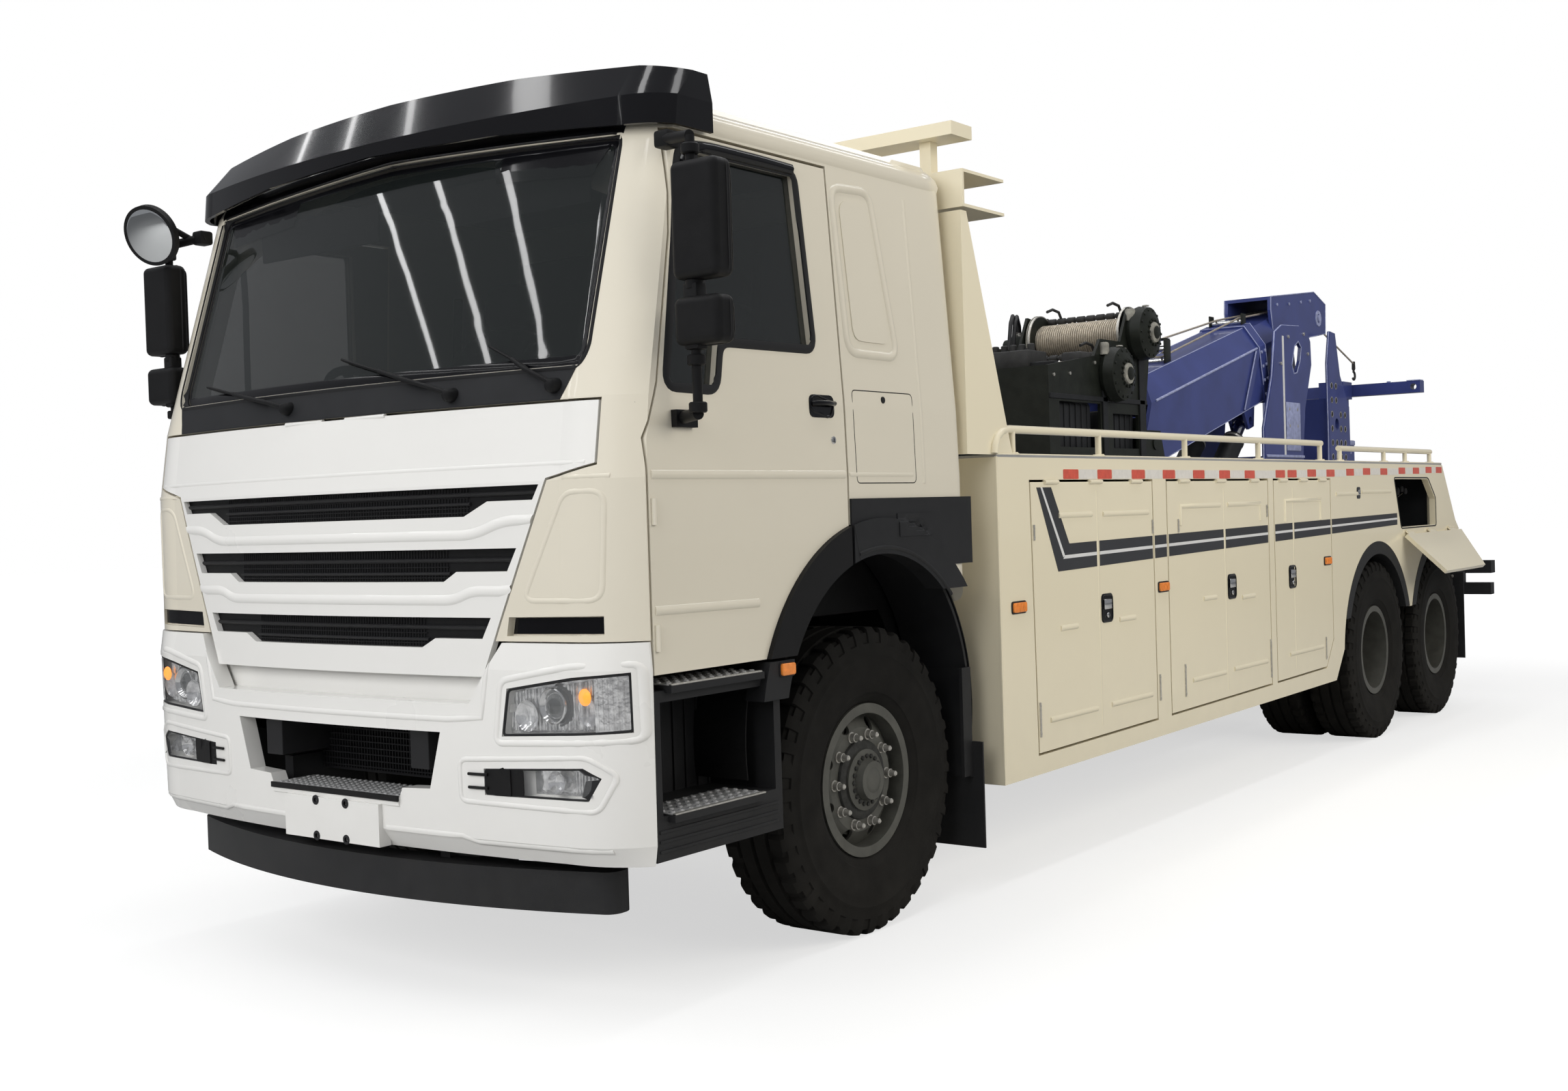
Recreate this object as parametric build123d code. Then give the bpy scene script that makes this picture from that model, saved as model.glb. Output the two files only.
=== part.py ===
from build123d import *
import math
import os

# Heavy recovery truck with an integrated body, a sliding boom, two winches and a folded under-lift.
# All sizes are in millimetres. The truck faces -Y, +X is its left side and z = 0 is the ground.
# While it is laid out, y = 0 is the front axle. The written files are moved along Y so that the
# middle of the truck's length is at the origin.

# Running clearances
SEAT_GAP = 0.3
DOOR_GAP = 10.0

# Axles and wheels
TYRE_RADIUS = 560.0
TYRE_WIDTH = 300.0
FRONT_WHEEL_X = 1011.0
REAR_OUTER_X = 1094.0
TWIN_SPACING = 345.0
REAR_AXLE_Y = 5650.0
BOGIE_SPREAD = 1350.0
KINGPIN_X = 880.0
RIM_SEAT_RADIUS = 254.0
RIM_FLANGE_RADIUS = 280.0
RIM_WIDTH = 216.0
RIM_WALL = 10.0
SPINDLE_RADIUS = 45.0
AXLE_TUBE_RADIUS = 62.0
HUB_RADIUS = 112.0
DRUM_RADIUS = 205.0
STUD_CIRCLE = 335.0
STUD_COUNT = 10
STUD_RADIUS = 13.0

# Chassis frame
RAIL_OUTER_X = 430.0
RAIL_FLANGE = 80.0
RAIL_WALL = 10.0
RAIL_BOTTOM = 740.0
RAIL_TOP = 1040.0
SUBFRAME_HEIGHT = 120.0
FRAME_FRONT = -1190.0
FRAME_REAR = 8230.0

# Cab
CAB_HALF = 1245.0
CAB_WALL = 45.0
CAB_FRONT_WALL = 110.0
CAB_FLOOR = 1215.0
CAB_ROOF_WALL = 40.0
ARCH_Y = -47.0
ARCH_Z = 776.0
FLARE_OUTER = 741.0
FLARE_INNER = 612.0
DOOR_FRONT = -1280.0
DOOR_REAR = -238.0
DOOR_BOTTOM = 1070.0
DOOR_TOP = 2742.0
GLASS_WALL = 5.0

# Front panel, grille and bumper
PANEL_SKIN = 25.0
PANEL_DEPTH = 45.0
PANEL_BOTTOM = 1064.0
PANEL_TOP = 1900.0
PANEL_GAP = 8.0
FLAP_HINGE_Y = -1444.0
BUMPER_TOP = 1172.0
BUMPER_BOTTOM = 498.0
BUMPER_WALL = 60.0
BUMPER_REAR = -1292.0
PLATE_HOLE_X = 155.0
PLATE_HOLE_Z = 120.0
PLATE_HOLE_RADIUS = 9.0
PLATE_Z = 570.0

# Body
BODY_HALF = 1248.0
BODY_FRONT = 805.0
BODY_REAR = 7145.0
BODY_TOP = 1752.0
SKIN = 40.0
DECK_PLATE = 10.0
WELL_HALF = 345.0
WELL_FRONT = 4250.0
LOCKER_BACK_X = 560.0
LOCKER_TOP = 1640.0
LOCKER_HINGE_X = BODY_HALF + 2.0
LOCKER_HINGE_RADIUS = DOOR_GAP - SEAT_GAP
PANEL_PLATE = 12.0
REAR_ARCH_RADIUS = 690.0
GUARD_RADIUS = 610.0
HINGE_RADIUS = 7.0
CONTROL_HINGE_X = BODY_HALF + HINGE_RADIUS
CONTROL_HINGE_Z = 1300.0
CONTROL_HINGE_FRONT = 6177.0
CONTROL_HINGE_REAR = 7504.0
CONTROL_DROP = 42.0
CONTROL_HEIGHT = 388.0
CONTROL_THICK = 25.0

# Boom and under-lift
BOOM_PITCH = 14.0
BOOM_HALF = 240.0
BOOM_PIVOT_Y = 4480.0
BOOM_PIVOT_Z = 1900.0
BOOM_WALL = 24.0
BOOM_PIN_RADIUS = 38.0
SECTION_GAP = 5.3
PAD = 5.0
RAM_X = 140.0
RAM_BASE_Y = 5250.0
RAM_BASE_Z = 1250.0
RAM_EYE_Y = 6250.0
RAM_EYE_Z = 2090.0
RAM_BARREL_RADIUS = 75.0
RAM_ROD_RADIUS = 42.0
LIFT_PIVOT_Y = 8480.0
LIFT_PIVOT_Z = 760.0
LIFT_TOP = 2360.0

# Winches
WINCHES = {"winch_drum_lower": (3760.0, 2280.0), "winch_drum_upper": (4130.0, 2540.0)}
DRUM_HALF = 300.0
WINCH_DRUM_RADIUS = 82.0
WINCH_FLANGE_RADIUS = 165.0
WINCH_SHAFT_RADIUS = 30.0

# Ends of the whole truck, used to centre it on the origin
TRUCK_FRONT = -1518.0
TRUCK_REAR = 8910.0
CENTRE_Y = (TRUCK_FRONT + TRUCK_REAR) / 2

# Crossbar of the under-lift
CROSSBAR_DEEP = 110.0
CROSSBAR_Z = 2413.0
SWIVEL_RADIUS = 40.0
FORK_X = 590.0
FORK_RADIUS = 25.0


def block(x0, x1, y0, y1, z0, z1):
    """A box between two corners."""
    return Pos((x0 + x1) / 2, (y0 + y1) / 2, (z0 + z1) / 2) * Box(abs(x1 - x0), abs(y1 - y0), abs(z1 - z0))


def prism_x(points, x0, x1):
    """An outline of (y, z) points, extruded along X."""
    face = make_face(Polyline(*[(x0, y, z) for y, z in points], close=True))
    return extrude(face, amount=x1 - x0, dir=(1, 0, 0))


def prism_y(points, y0, y1):
    """An outline of (x, z) points, extruded along Y."""
    face = make_face(Polyline(*[(x, y0, z) for x, z in points], close=True))
    return extrude(face, amount=y1 - y0, dir=(0, 1, 0))


def prism_z(points, z0, z1):
    """An outline of (x, y) points, extruded along Z."""
    face = make_face(Polyline(*[(x, y, z0) for x, y in points], close=True))
    return extrude(face, amount=z1 - z0, dir=(0, 0, 1))


def rod(start, end, radius):
    """A round bar between two points."""
    a, b = Vector(*start), Vector(*end)
    return extrude(Plane(origin=a, z_dir=b - a) * Circle(radius), amount=(b - a).length)


def lathe_x(points, y=0.0, z=0.0):
    """An outline of (x, radius) points, turned about an axis along X."""
    face = make_face(Polyline(*[(x, 0, r) for x, r in points], close=True))
    return Pos(0, y, z) * revolve(face, Axis.X)


def fuse(*solids):
    """One shape from many."""
    first, *rest = solids
    return first.fuse(*rest) if rest else first


def both(solid):
    """A solid and its mirror image on the other side of the truck."""
    return Compound(children=[solid, mirror(solid, about=Plane.YZ)])


def both_fused(solid):
    """A solid fused with its mirror image."""
    return fuse(solid, mirror(solid, about=Plane.YZ))


def on_side(solid, side):
    """The left-hand solid for side 1, its mirror image for side -1."""
    return solid if side > 0 else mirror(solid, about=Plane.YZ)


# Wheels

def tyre(x):
    """A road tyre about the hub line, with its middle at x."""
    half = TYRE_WIDTH / 2
    bead = RIM_WIDTH / 2 - SEAT_GAP
    seat = RIM_SEAT_RADIUS + SEAT_GAP
    outline = [
        (bead, seat), (bead, RIM_FLANGE_RADIUS + 2), (half - 14, 330), (half, 415), (half - 8, 505),
        (half - 28, TYRE_RADIUS),
    ]
    points = outline + [(-a, r) for a, r in reversed(outline)]
    return lathe_x([(x + a, r) for a, r in points])


def rim_barrel(x):
    """The hollow drum of a rim with a flange at each edge."""
    half = RIM_WIDTH / 2
    inner = RIM_SEAT_RADIUS - RIM_WALL
    edge = half + RIM_WALL
    outline = [
        (-edge, inner), (-edge, RIM_FLANGE_RADIUS), (-half, RIM_FLANGE_RADIUS), (-half, RIM_SEAT_RADIUS),
        (half, RIM_SEAT_RADIUS), (half, RIM_FLANGE_RADIUS), (edge, RIM_FLANGE_RADIUS), (edge, inner),
    ]
    return lathe_x([(x + a, r) for a, r in outline])


def rim_disc(x_centre, x_edge, thickness):
    """The dished disc between hub and barrel, with hand holes."""
    edge_radius = RIM_SEAT_RADIUS - RIM_WALL
    middle = 190.0
    disc = lathe_x([
        (x_centre, HUB_RADIUS - 20), (x_centre, middle), (x_edge, edge_radius + 2),
        (x_edge + thickness, edge_radius + 2), (x_centre + thickness, middle), (x_centre + thickness,
        HUB_RADIUS - 20),
    ])
    for i in range(8):
        angle = math.radians(45 * i + 22.5)
        y, z = 212 * math.cos(angle), 212 * math.sin(angle)
        low = min(x_centre, x_edge) - 5
        high = max(x_centre, x_edge) + thickness + 5
        disc = disc - rod((low, y, z), (high, y, z), 24)
    return disc


def studs(x0, x1):
    """The ring of wheel nuts."""
    ring = []
    for i in range(STUD_COUNT):
        angle = math.radians(360 / STUD_COUNT * i)
        y, z = STUD_CIRCLE / 2 * math.cos(angle), STUD_CIRCLE / 2 * math.sin(angle)
        ring.append(rod((x0, y, z), (x1, y, z), STUD_RADIUS))
    return ring


def front_rim():
    """Front wheel rim with its hub and brake drum, bored for the spindle."""
    x = FRONT_WHEEL_X
    hub = lathe_x([
        (x - 28, SPINDLE_RADIUS + SEAT_GAP), (x - 28, HUB_RADIUS), (x + 112, HUB_RADIUS), (x + 118, 95),
        (x + 118, 78), (x + 146, 70), (x + 146, 0), (x + 100, 0), (x + 100, SPINDLE_RADIUS + SEAT_GAP),
    ])
    drum = lathe_x([
        (x - 120, DRUM_RADIUS - 15), (x - 120, DRUM_RADIUS), (x + 62, DRUM_RADIUS), (x + 62,
        HUB_RADIUS - 10),
        (x + 46, HUB_RADIUS - 10), (x + 46, DRUM_RADIUS - 15),
    ])
    disc = rim_disc(x + 76, x + 40, 12)
    nuts = studs(x + 60, x + 112)
    return fuse(rim_barrel(x), hub, drum, disc, *nuts)


def rear_rims():
    """A twin set of rims on one hub, with the brake drum inside."""
    outer = REAR_OUTER_X
    inner = outer - TWIN_SPACING
    middle = (outer + inner) / 2
    bore = AXLE_TUBE_RADIUS + SEAT_GAP
    hub = lathe_x([
        (middle - 80, bore), (middle - 80, HUB_RADIUS), (middle + 120, HUB_RADIUS), (middle + 165, 90),
        (middle + 165, 0), (middle + 150, 0), (middle + 100, 0), (middle + 100, bore),
    ])
    drum = lathe_x([
        (inner - 80, DRUM_RADIUS - 15), (inner - 80, DRUM_RADIUS), (middle - 20, DRUM_RADIUS),
        (middle - 20, HUB_RADIUS - 10), (middle - 36, HUB_RADIUS - 10), (middle - 36, DRUM_RADIUS - 15),
    ])
    outer_disc = rim_disc(middle, outer - 60, 12)
    inner_disc = rim_disc(middle - 24, inner + 60, 12)
    nuts = studs(middle - 30, middle + 48)
    return fuse(rim_barrel(outer), rim_barrel(inner), hub, drum, outer_disc, inner_disc, *nuts)


# name, y, single front wheel, side
WHEELS = [
    ("front_left", 0.0, True, 1),
    ("front_right", 0.0, True, -1),
    ("mid_left", REAR_AXLE_Y, False, 1),
    ("mid_right", REAR_AXLE_Y, False, -1),
    ("rear_left", REAR_AXLE_Y + BOGIE_SPREAD, False, 1),
    ("rear_right", REAR_AXLE_Y + BOGIE_SPREAD, False, -1),
]


def wheel_nodes():
    """Every tyre and rim, by name."""
    front_tyre, front_metal = tyre(FRONT_WHEEL_X), front_rim()
    twin_tyres = Compound(children=[tyre(REAR_OUTER_X), tyre(REAR_OUTER_X - TWIN_SPACING)])
    twin_metal = rear_rims()
    nodes = {}
    for name, y, single, side in WHEELS:
        place = Pos(0, y, TYRE_RADIUS)
        turn = Rot(0, 0, 0 if side > 0 else 180)
        nodes["tyre_" + name] = place * turn * (front_tyre if single else twin_tyres)
        nodes["rim_" + name] = place * turn * (front_metal if single else twin_metal)
    return nodes


# Axles, frame and engine

BOSS_RADIUS = 50.0
BOSS_HALF = 60.0
YOKE_TOP = BOSS_HALF + 2
YOKE_EDGE = 120.0
KINGPIN_RADIUS = 24.0
SPRING_X = 430.0
SPRING_WIDTH = 90.0
LEAF_HALF = 18.0


def knuckle():
    """Left steering knuckle: yoke, kingpin, spindle and steering arm."""
    x, z = KINGPIN_X, TYRE_RADIUS
    web_x = x + BOSS_RADIUS + 7
    yoke = []
    for low, high in ((YOKE_TOP, YOKE_EDGE), (-YOKE_EDGE, -YOKE_TOP)):
        yoke.append(block(x - 50, web_x + 5, -50, 50, z + low, z + high))
    yoke.append(block(web_x, web_x + 38, -58, 58, z - YOKE_EDGE, z + YOKE_EDGE))
    kingpin = rod((x, 0, z - YOKE_EDGE), (x, 0, z + YOKE_EDGE), KINGPIN_RADIUS)
    spindle = rod((web_x + 30, 0, z), (FRONT_WHEEL_X + 95, 0, z), SPINDLE_RADIUS)
    arm = prism_z([(x - 30, 40), (x + 30, 40), (x - 40, 300), (x - 80, 300)], z - YOKE_EDGE,
        z - YOKE_EDGE + 36)
    return fuse(*yoke, kingpin, spindle, arm)


def leaf_spring(y_mid, reach, seat_z, eye_z):
    """A curved stack of leaves below one frame rail, thick at its seat."""
    x = SPRING_X - SPRING_WIDTH / 2
    front, rear = y_mid - reach, y_mid + reach
    top = ThreePointArc((x, front, eye_z + LEAF_HALF), (x, y_mid, seat_z + 95), (x, rear, eye_z + LEAF_HALF))
    low_points = [
        (rear, eye_z + LEAF_HALF), (rear, eye_z - LEAF_HALF), (y_mid + reach * 0.45, seat_z + 34),
        (y_mid + reach * 0.12, seat_z), (y_mid - reach * 0.12, seat_z), (y_mid - reach * 0.45, seat_z + 34),
        (front, eye_z - LEAF_HALF), (front, eye_z + LEAF_HALF),
    ]
    low = Polyline(*[(x, y, z) for y, z in low_points])
    return extrude(make_face(Curve() + [top, low]), amount=SPRING_WIDTH, dir=(1, 0, 0))


def front_axle():
    """Dropped axle beam, its kingpin bosses, and the springs with their hangers."""
    z = TYRE_RADIUS
    beam_points = [
        (0, z - 105), (560, z - 105), (700, z - 40), (KINGPIN_X, z - 40), (KINGPIN_X, z + 40), (680, z + 40),
        (540, z - 25), (0, z - 25),
    ]
    boss = rod((KINGPIN_X, 0, z - BOSS_HALF), (KINGPIN_X, 0, z + BOSS_HALF), BOSS_RADIUS)
    half = fuse(prism_y(beam_points, -45, 45), boss)
    half = half - rod((KINGPIN_X, 0, z - 90), (KINGPIN_X, 0, z + 90), KINGPIN_RADIUS + SEAT_GAP)
    spring = leaf_spring(0, 800, z - 25, RAIL_BOTTOM - 60)
    hangers = [block(SPRING_X - 40, SPRING_X - 1, y - 30, y + 30,
        RAIL_BOTTOM - 75, RAIL_BOTTOM) for y in (-780, 780)]
    return both_fused(fuse(half, spring, *hangers))


# Outline of an axle's differential case: x, radius
DIFFERENTIAL = [(-150, 60), (-150, 90), (-105, 175), (-40, 205), (40, 205), (105, 175), (150, 90), (150, 60)]


def rear_axles():
    """Both driven axles, the bogie springs on their trunnion, and the prop shafts."""
    z = TYRE_RADIUS
    middle = (2 * REAR_OUTER_X - TWIN_SPACING) / 2
    solids = []
    for y in (REAR_AXLE_Y, REAR_AXLE_Y + BOGIE_SPREAD):
        solids.append(rod((-middle - 95, y, z), (middle + 95, y, z), AXLE_TUBE_RADIUS))
        solids.append(rod((-560, y, z), (560, y, z), 85))
        solids.append(lathe_x(DIFFERENTIAL, y, z))
        solids.append(block(-80, 80, y - 190, y - 90, z + 10, z + 120))
        for x in (-SPRING_X, SPRING_X):
            solids.append(block(x - 55, x + 55, y - 60, y + 60, z + 40, z + 105))
    trunnion_y = REAR_AXLE_Y + BOGIE_SPREAD / 2
    solids.append(rod((-500, trunnion_y, z + 30), (500, trunnion_y, z + 30), 60))
    for x in (-SPRING_X, SPRING_X):
        outline = [
            (trunnion_y - 700, z + 100), (trunnion_y - 260, z + 85), (trunnion_y + 260, z + 85),
            (trunnion_y + 700, z + 100), (trunnion_y + 700, z + 135), (trunnion_y + 200, z + 175),
            (trunnion_y - 200, z + 175), (trunnion_y - 700, z + 135),
        ]
        solids.append(prism_x(outline, x - 45, x + 45))
        bracket = [
            (trunnion_y - 60, z + 20), (trunnion_y + 60, z + 20), (trunnion_y + 160, RAIL_BOTTOM),
            (trunnion_y - 160, RAIL_BOTTOM),
        ]
        inner, outer = sorted((x * (RAIL_OUTER_X - 45) / SPRING_X, x * (RAIL_OUTER_X - 70) / SPRING_X))
        solids.append(prism_x(bracket, inner - 20, outer))
    solids.append(rod((0, 1506, 775), (0, REAR_AXLE_Y - 150, z + 65), 50))
    solids.append(rod((0, REAR_AXLE_Y + 100, z + 40), (0, REAR_AXLE_Y + BOGIE_SPREAD - 120, z + 65), 50))
    return fuse(*solids)


# y and whether the frame carries a deep cross-member there
CROSS_MEMBERS = [
    (-1150.0, False), (1620.0, True), (2700.0, True), (3900.0, True), (5250.0, True), (6325.0, True),
    (7750.0, True),
]


def chassis_frame():
    """Two channel rails, their cross-members and the well sides that carry the body."""
    channel = [
        (RAIL_OUTER_X, RAIL_BOTTOM), (RAIL_OUTER_X, RAIL_TOP), (RAIL_OUTER_X - RAIL_FLANGE, RAIL_TOP),
        (RAIL_OUTER_X - RAIL_FLANGE, RAIL_TOP - RAIL_WALL), (RAIL_OUTER_X - RAIL_WALL, RAIL_TOP - RAIL_WALL),
        (RAIL_OUTER_X - RAIL_WALL, RAIL_BOTTOM + RAIL_WALL), (RAIL_OUTER_X - RAIL_FLANGE,
        RAIL_BOTTOM + RAIL_WALL),
        (RAIL_OUTER_X - RAIL_FLANGE, RAIL_BOTTOM),
    ]
    rail = prism_y(channel, FRAME_FRONT, FRAME_REAR)
    solids = [both_fused(rail)]
    inside = RAIL_OUTER_X - RAIL_WALL / 2
    for y, deep in CROSS_MEMBERS:
        low = RAIL_BOTTOM + (100 if deep else 60)
        solids.append(block(-inside, inside, y - 40, y + 40, low, RAIL_TOP - 30))
    subframe = block(RAIL_OUTER_X - 90, RAIL_OUTER_X - 10, BODY_FRONT + 60, FRAME_REAR, RAIL_TOP - 2,
                     RAIL_TOP + SUBFRAME_HEIGHT)
    solids.append(both_fused(subframe))
    ram_ears = []
    for x in (-RAM_X, RAM_X):
        for ear in (x - 62, x + 42):
            ear_points = [
                (RAM_BASE_Y - 90, RAIL_TOP - 60), (RAM_BASE_Y + 90, RAIL_TOP - 60),
                (RAM_BASE_Y + 50, RAM_BASE_Z + 50), (RAM_BASE_Y - 50, RAM_BASE_Z + 50),
            ]
            ram_ears.append(prism_x(ear_points, ear, ear + 20))
        ram_ears.append(rod((x - 62, RAM_BASE_Y, RAM_BASE_Z), (x + 62, RAM_BASE_Y, RAM_BASE_Z), 28))
    tie = block(-inside, inside, RAM_BASE_Y - 90, RAM_BASE_Y + 90, RAIL_TOP - 60, RAIL_TOP - 20)
    solids.append(tie)
    for y in (-1000, 460):
        mount = block(RAIL_OUTER_X - 80, RAIL_OUTER_X, y - 40, y + 40, RAIL_TOP - 5, CAB_FLOOR - CAB_WALL)
        solids += [mount, on_side(mount, -1)]
    return fuse(*solids, *ram_ears)


def engine():
    """Engine block and gearbox as one plain block between the rails."""
    mounts = [block(side * 300, side * (RAIL_OUTER_X - RAIL_WALL), -420, -300, 800, 860) for side in (-1, 1)]
    body = block(-310, 310, -960, 260, 640, 1150)
    gearbox = prism_x([(260, 660), (1100, 700), (1500, 740), (1500, 860), (1100, 960), (260, 1040)],
        -190, 190)
    return fuse(body, gearbox, *mounts)


# Cab shell. One row per level: z, y of the front on the centre line, x and y where the front arc
# ends, half width, y where the corner meets the side, y of the rear wall.
CAB_LEVELS = [
    (1060.0, -1490.0, 1000.0, -1415.0, CAB_HALF, -1294.0, 575.0),
    (1664.0, -1484.0, 1000.0, -1408.0, CAB_HALF, -1294.0, 575.0),
    (1913.0, -1450.0, 1000.0, -1372.0, 1238.0, -1258.0, 573.0),
    (2760.0, -1185.0, 1000.0, -1118.0, 1182.0, -1040.0, 567.0),
    (2862.0, -1135.0, 945.0, -1068.0, 1132.0, -985.0, 545.0),
    (2950.0, -960.0, 650.0, -905.0, 820.0, -800.0, 380.0),
]
CAB_REAR_CORNER = 70.0


def plan_wire(level, inset, front_inset):
    """One level of the cab as a closed outline, set in by a wall."""
    z, front, arc_x, arc_y, half, side_y, rear = level
    front, arc_y, side_y = front + front_inset, arc_y + front_inset, side_y + front_inset
    half, rear = half - inset, rear - inset
    arc_x = arc_x - inset * 0.6
    r = CAB_REAR_CORNER
    mid_x, mid_y = arc_x + (half - arc_x) * 0.62, arc_y + (side_y - arc_y) * 0.34
    bow = r * (1 - math.sqrt(0.5))
    edges = [
        ThreePointArc((-arc_x, arc_y, z), (0, front, z), (arc_x, arc_y, z)),
        ThreePointArc((arc_x, arc_y, z), (mid_x, mid_y, z), (half, side_y, z)),
        Line((half, side_y, z), (half, rear - r, z)),
        ThreePointArc((half, rear - r, z), (half - bow, rear - bow, z), (half - r, rear, z)),
        Line((half - r, rear, z), (-half + r, rear, z)),
        ThreePointArc((-half + r, rear, z), (-half + bow, rear - bow, z), (-half, rear - r, z)),
        Line((-half, rear - r, z), (-half, side_y, z)),
        ThreePointArc((-half, side_y, z), (-mid_x, mid_y, z), (-arc_x, arc_y, z)),
    ]
    return Wire(edges)


def between_levels(z):
    """The cab's level values at a height, worked out between the two rows around it."""
    for low, high in zip(CAB_LEVELS, CAB_LEVELS[1:]):
        if low[0] <= z <= high[0]:
            share = (z - low[0]) / (high[0] - low[0])
            return tuple(a + (b - a) * share for a, b in zip(low, high))
    raise ValueError("height outside the cab")


def cab_form(inset, front_inset, z_low, z_high):
    """The cab's outer form, set in by its walls, between two heights."""
    levels = [between_levels(z_low)]
    levels += [level for level in CAB_LEVELS if z_low + 1 < level[0] < z_high - 1]
    levels.append(between_levels(z_high))
    return Solid.make_loft([plan_wire(level, inset, front_inset) for level in levels], ruled=True)


CAB_BOTTOM = CAB_LEVELS[0][0]
CAB_TOP = CAB_LEVELS[-1][0]
WHEEL_HOUSE_X = 885.0
SCREEN_REAR = -1070.0

# Outlines of (y, z) on the cab's side
DOOR_OUTLINE = [
    (DOOR_FRONT, DOOR_BOTTOM), (DOOR_FRONT, 1780), (-1212, 1950), (-1100, 2415), (-1064, DOOR_TOP),
    (DOOR_REAR, DOOR_TOP), (DOOR_REAR, DOOR_BOTTOM),
]
WINDOW_OUTLINE = [
    (-1162, 1952), (-942, 1952), (-905, 2108), (-400, 2112), (-430, 2690), (-1002, 2690), (-1022, 2640),
    (-1060, 2405),
]
# Outlines of (x, z) on the cab's front, right-hand half
PANEL_HALF = [(1120, PANEL_TOP), (1120, 1712), (950, 1672), (762, 1236), (690, PANEL_BOTTOM)]
# Black band between the cab's corner and the bumper
CORNER_BAND = [(790, 1192), (1140, 1196), (1140, 1254), (800, 1250)]
CORNER_BAND_DEPTH = 30.0
SCREEN_HALF = [(1030, 2012), (1052, 2060), (1036, 2740), (0, 2792)]
# Each slot: half width at its top, at its bottom, z of top and bottom at the ends, half width of the
# deeper middle at its top and bottom, and z of the middle's bottom
SLOTS = [
    (925.0, 900.0, 1654.0, 1608.0, 725.0, 629.0, 1563.0),
    (835.0, 797.0, 1462.0, 1391.0, 592.0, 538.0, 1360.0),
    (728.0, 692.0, 1248.0, 1182.0, 495.0, 437.0, 1152.0),
]


def symmetric(half_points):
    """A right-hand outline made whole with its mirror image."""
    return half_points + [(-x, z) for x, z in reversed(half_points) if x > 0]


def slot_outline(row, grow=0.0):
    """The outline of one grille slot, grown all round."""
    top_x, low_x, top_z, end_z, mid_top_x, mid_low_x, mid_z = row
    return symmetric([
        (0, top_z + grow), (top_x + grow, top_z + grow), (low_x + grow, end_z - grow),
        (mid_top_x + grow, end_z - grow), (mid_low_x + grow, mid_z - grow), (0, mid_z - grow),
    ])


def arch_cut(radius):
    """The round of the front wheel arch, right through the cab."""
    return rod((-1600, ARCH_Y, ARCH_Z), (1600, ARCH_Y, ARCH_Z), radius)


def side_prism(points, gap, side, x_low=1095.0, x_high=1400.0):
    """A side outline, set out by a gap, as a prism through one wall of the cab."""
    face = make_face(Polyline(*[(x_low, y, z) for y, z in points], close=True))
    if gap:
        face = offset(face, gap, kind=Kind.INTERSECTION)
    return on_side(extrude(face, amount=x_high - x_low, dir=(1, 0, 0)), side)


def front_prism(points, gap=0.0, y_low=-1700.0, y_high=-1180.0):
    """A front outline, set out by a gap, as a prism through the cab's front."""
    face = make_face(Polyline(*[(x, y_low, z) for x, z in points], close=True))
    if gap:
        face = offset(face, gap, kind=Kind.INTERSECTION)
    return extrude(face, amount=y_high - y_low, dir=(0, 1, 0))


def wheel_house(x_low, radius):
    """The room over both front wheels, outboard of x_low."""
    left = rod((x_low, ARCH_Y, ARCH_Z), (1400, ARCH_Y, ARCH_Z), radius)
    return fuse(left, rod((-1400, ARCH_Y, ARCH_Z), (-x_low, ARCH_Y, ARCH_Z), radius))


def cab_shell():
    """Floor, roof, rear wall, corners and door frames of the cab in one shell."""
    shell = cab_form(0, 0, CAB_BOTTOM, CAB_TOP)
    room = cab_form(CAB_WALL, CAB_FRONT_WALL, CAB_FLOOR, CAB_TOP - CAB_ROOF_WALL)
    shell = shell - (room - wheel_house(WHEEL_HOUSE_X - CAB_WALL, FLARE_OUTER + CAB_WALL))
    shell = shell - block(-1130, 1130, -1700, 700, CAB_BOTTOM - 10, CAB_FLOOR - 45)
    front_layer = cab_form(0, 0, CAB_BOTTOM, 1995) - cab_form(-50, PANEL_DEPTH + PANEL_GAP, CAB_BOTTOM, 1995)
    panel_hole = front_prism(symmetric(PANEL_HALF), PANEL_GAP)
    shell = shell - (front_layer & panel_hole)
    shell = shell - block(-1300, 1300, -1700, BUMPER_REAR + 40, CAB_BOTTOM - 10, BUMPER_TOP + 4)
    shell = shell - front_prism(symmetric(SCREEN_HALF), 0, -1700, SCREEN_REAR)
    band_layer = cab_form(0, 0, 1150, 1300) - cab_form(-50, CORNER_BAND_DEPTH, 1150, 1300)
    for side in (1, -1):
        shell = shell - (band_layer & front_prism([(side * x, z) for x, z in CORNER_BAND]))
    shell = shell - wheel_house(WHEEL_HOUSE_X, FLARE_OUTER + 1)
    for side in (1, -1):
        shell = shell - side_prism(DOOR_OUTLINE, DOOR_GAP, side)
    return shell


def door(side):
    """A front-hinged cab door with its window cut, round the wheel arch at its lower rear corner."""
    skin = cab_form(0, 0, CAB_BOTTOM, 2800) - cab_form(CAB_WALL, CAB_WALL, CAB_BOTTOM, 2800)
    panel = skin & side_prism(DOOR_OUTLINE, 0, side)
    return panel - side_prism(WINDOW_OUTLINE, 0, side) - arch_cut(FLARE_OUTER + 1)


def door_glass(side):
    """The window pane, seated inside the door's opening."""
    pane = cab_form(20, 20, 1800, 2800) - cab_form(20 + GLASS_WALL, 20 + GLASS_WALL, 1800, 2800)
    return pane & side_prism(WINDOW_OUTLINE, -SEAT_GAP, side)


FLARE_PROUD = 18.0


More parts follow.
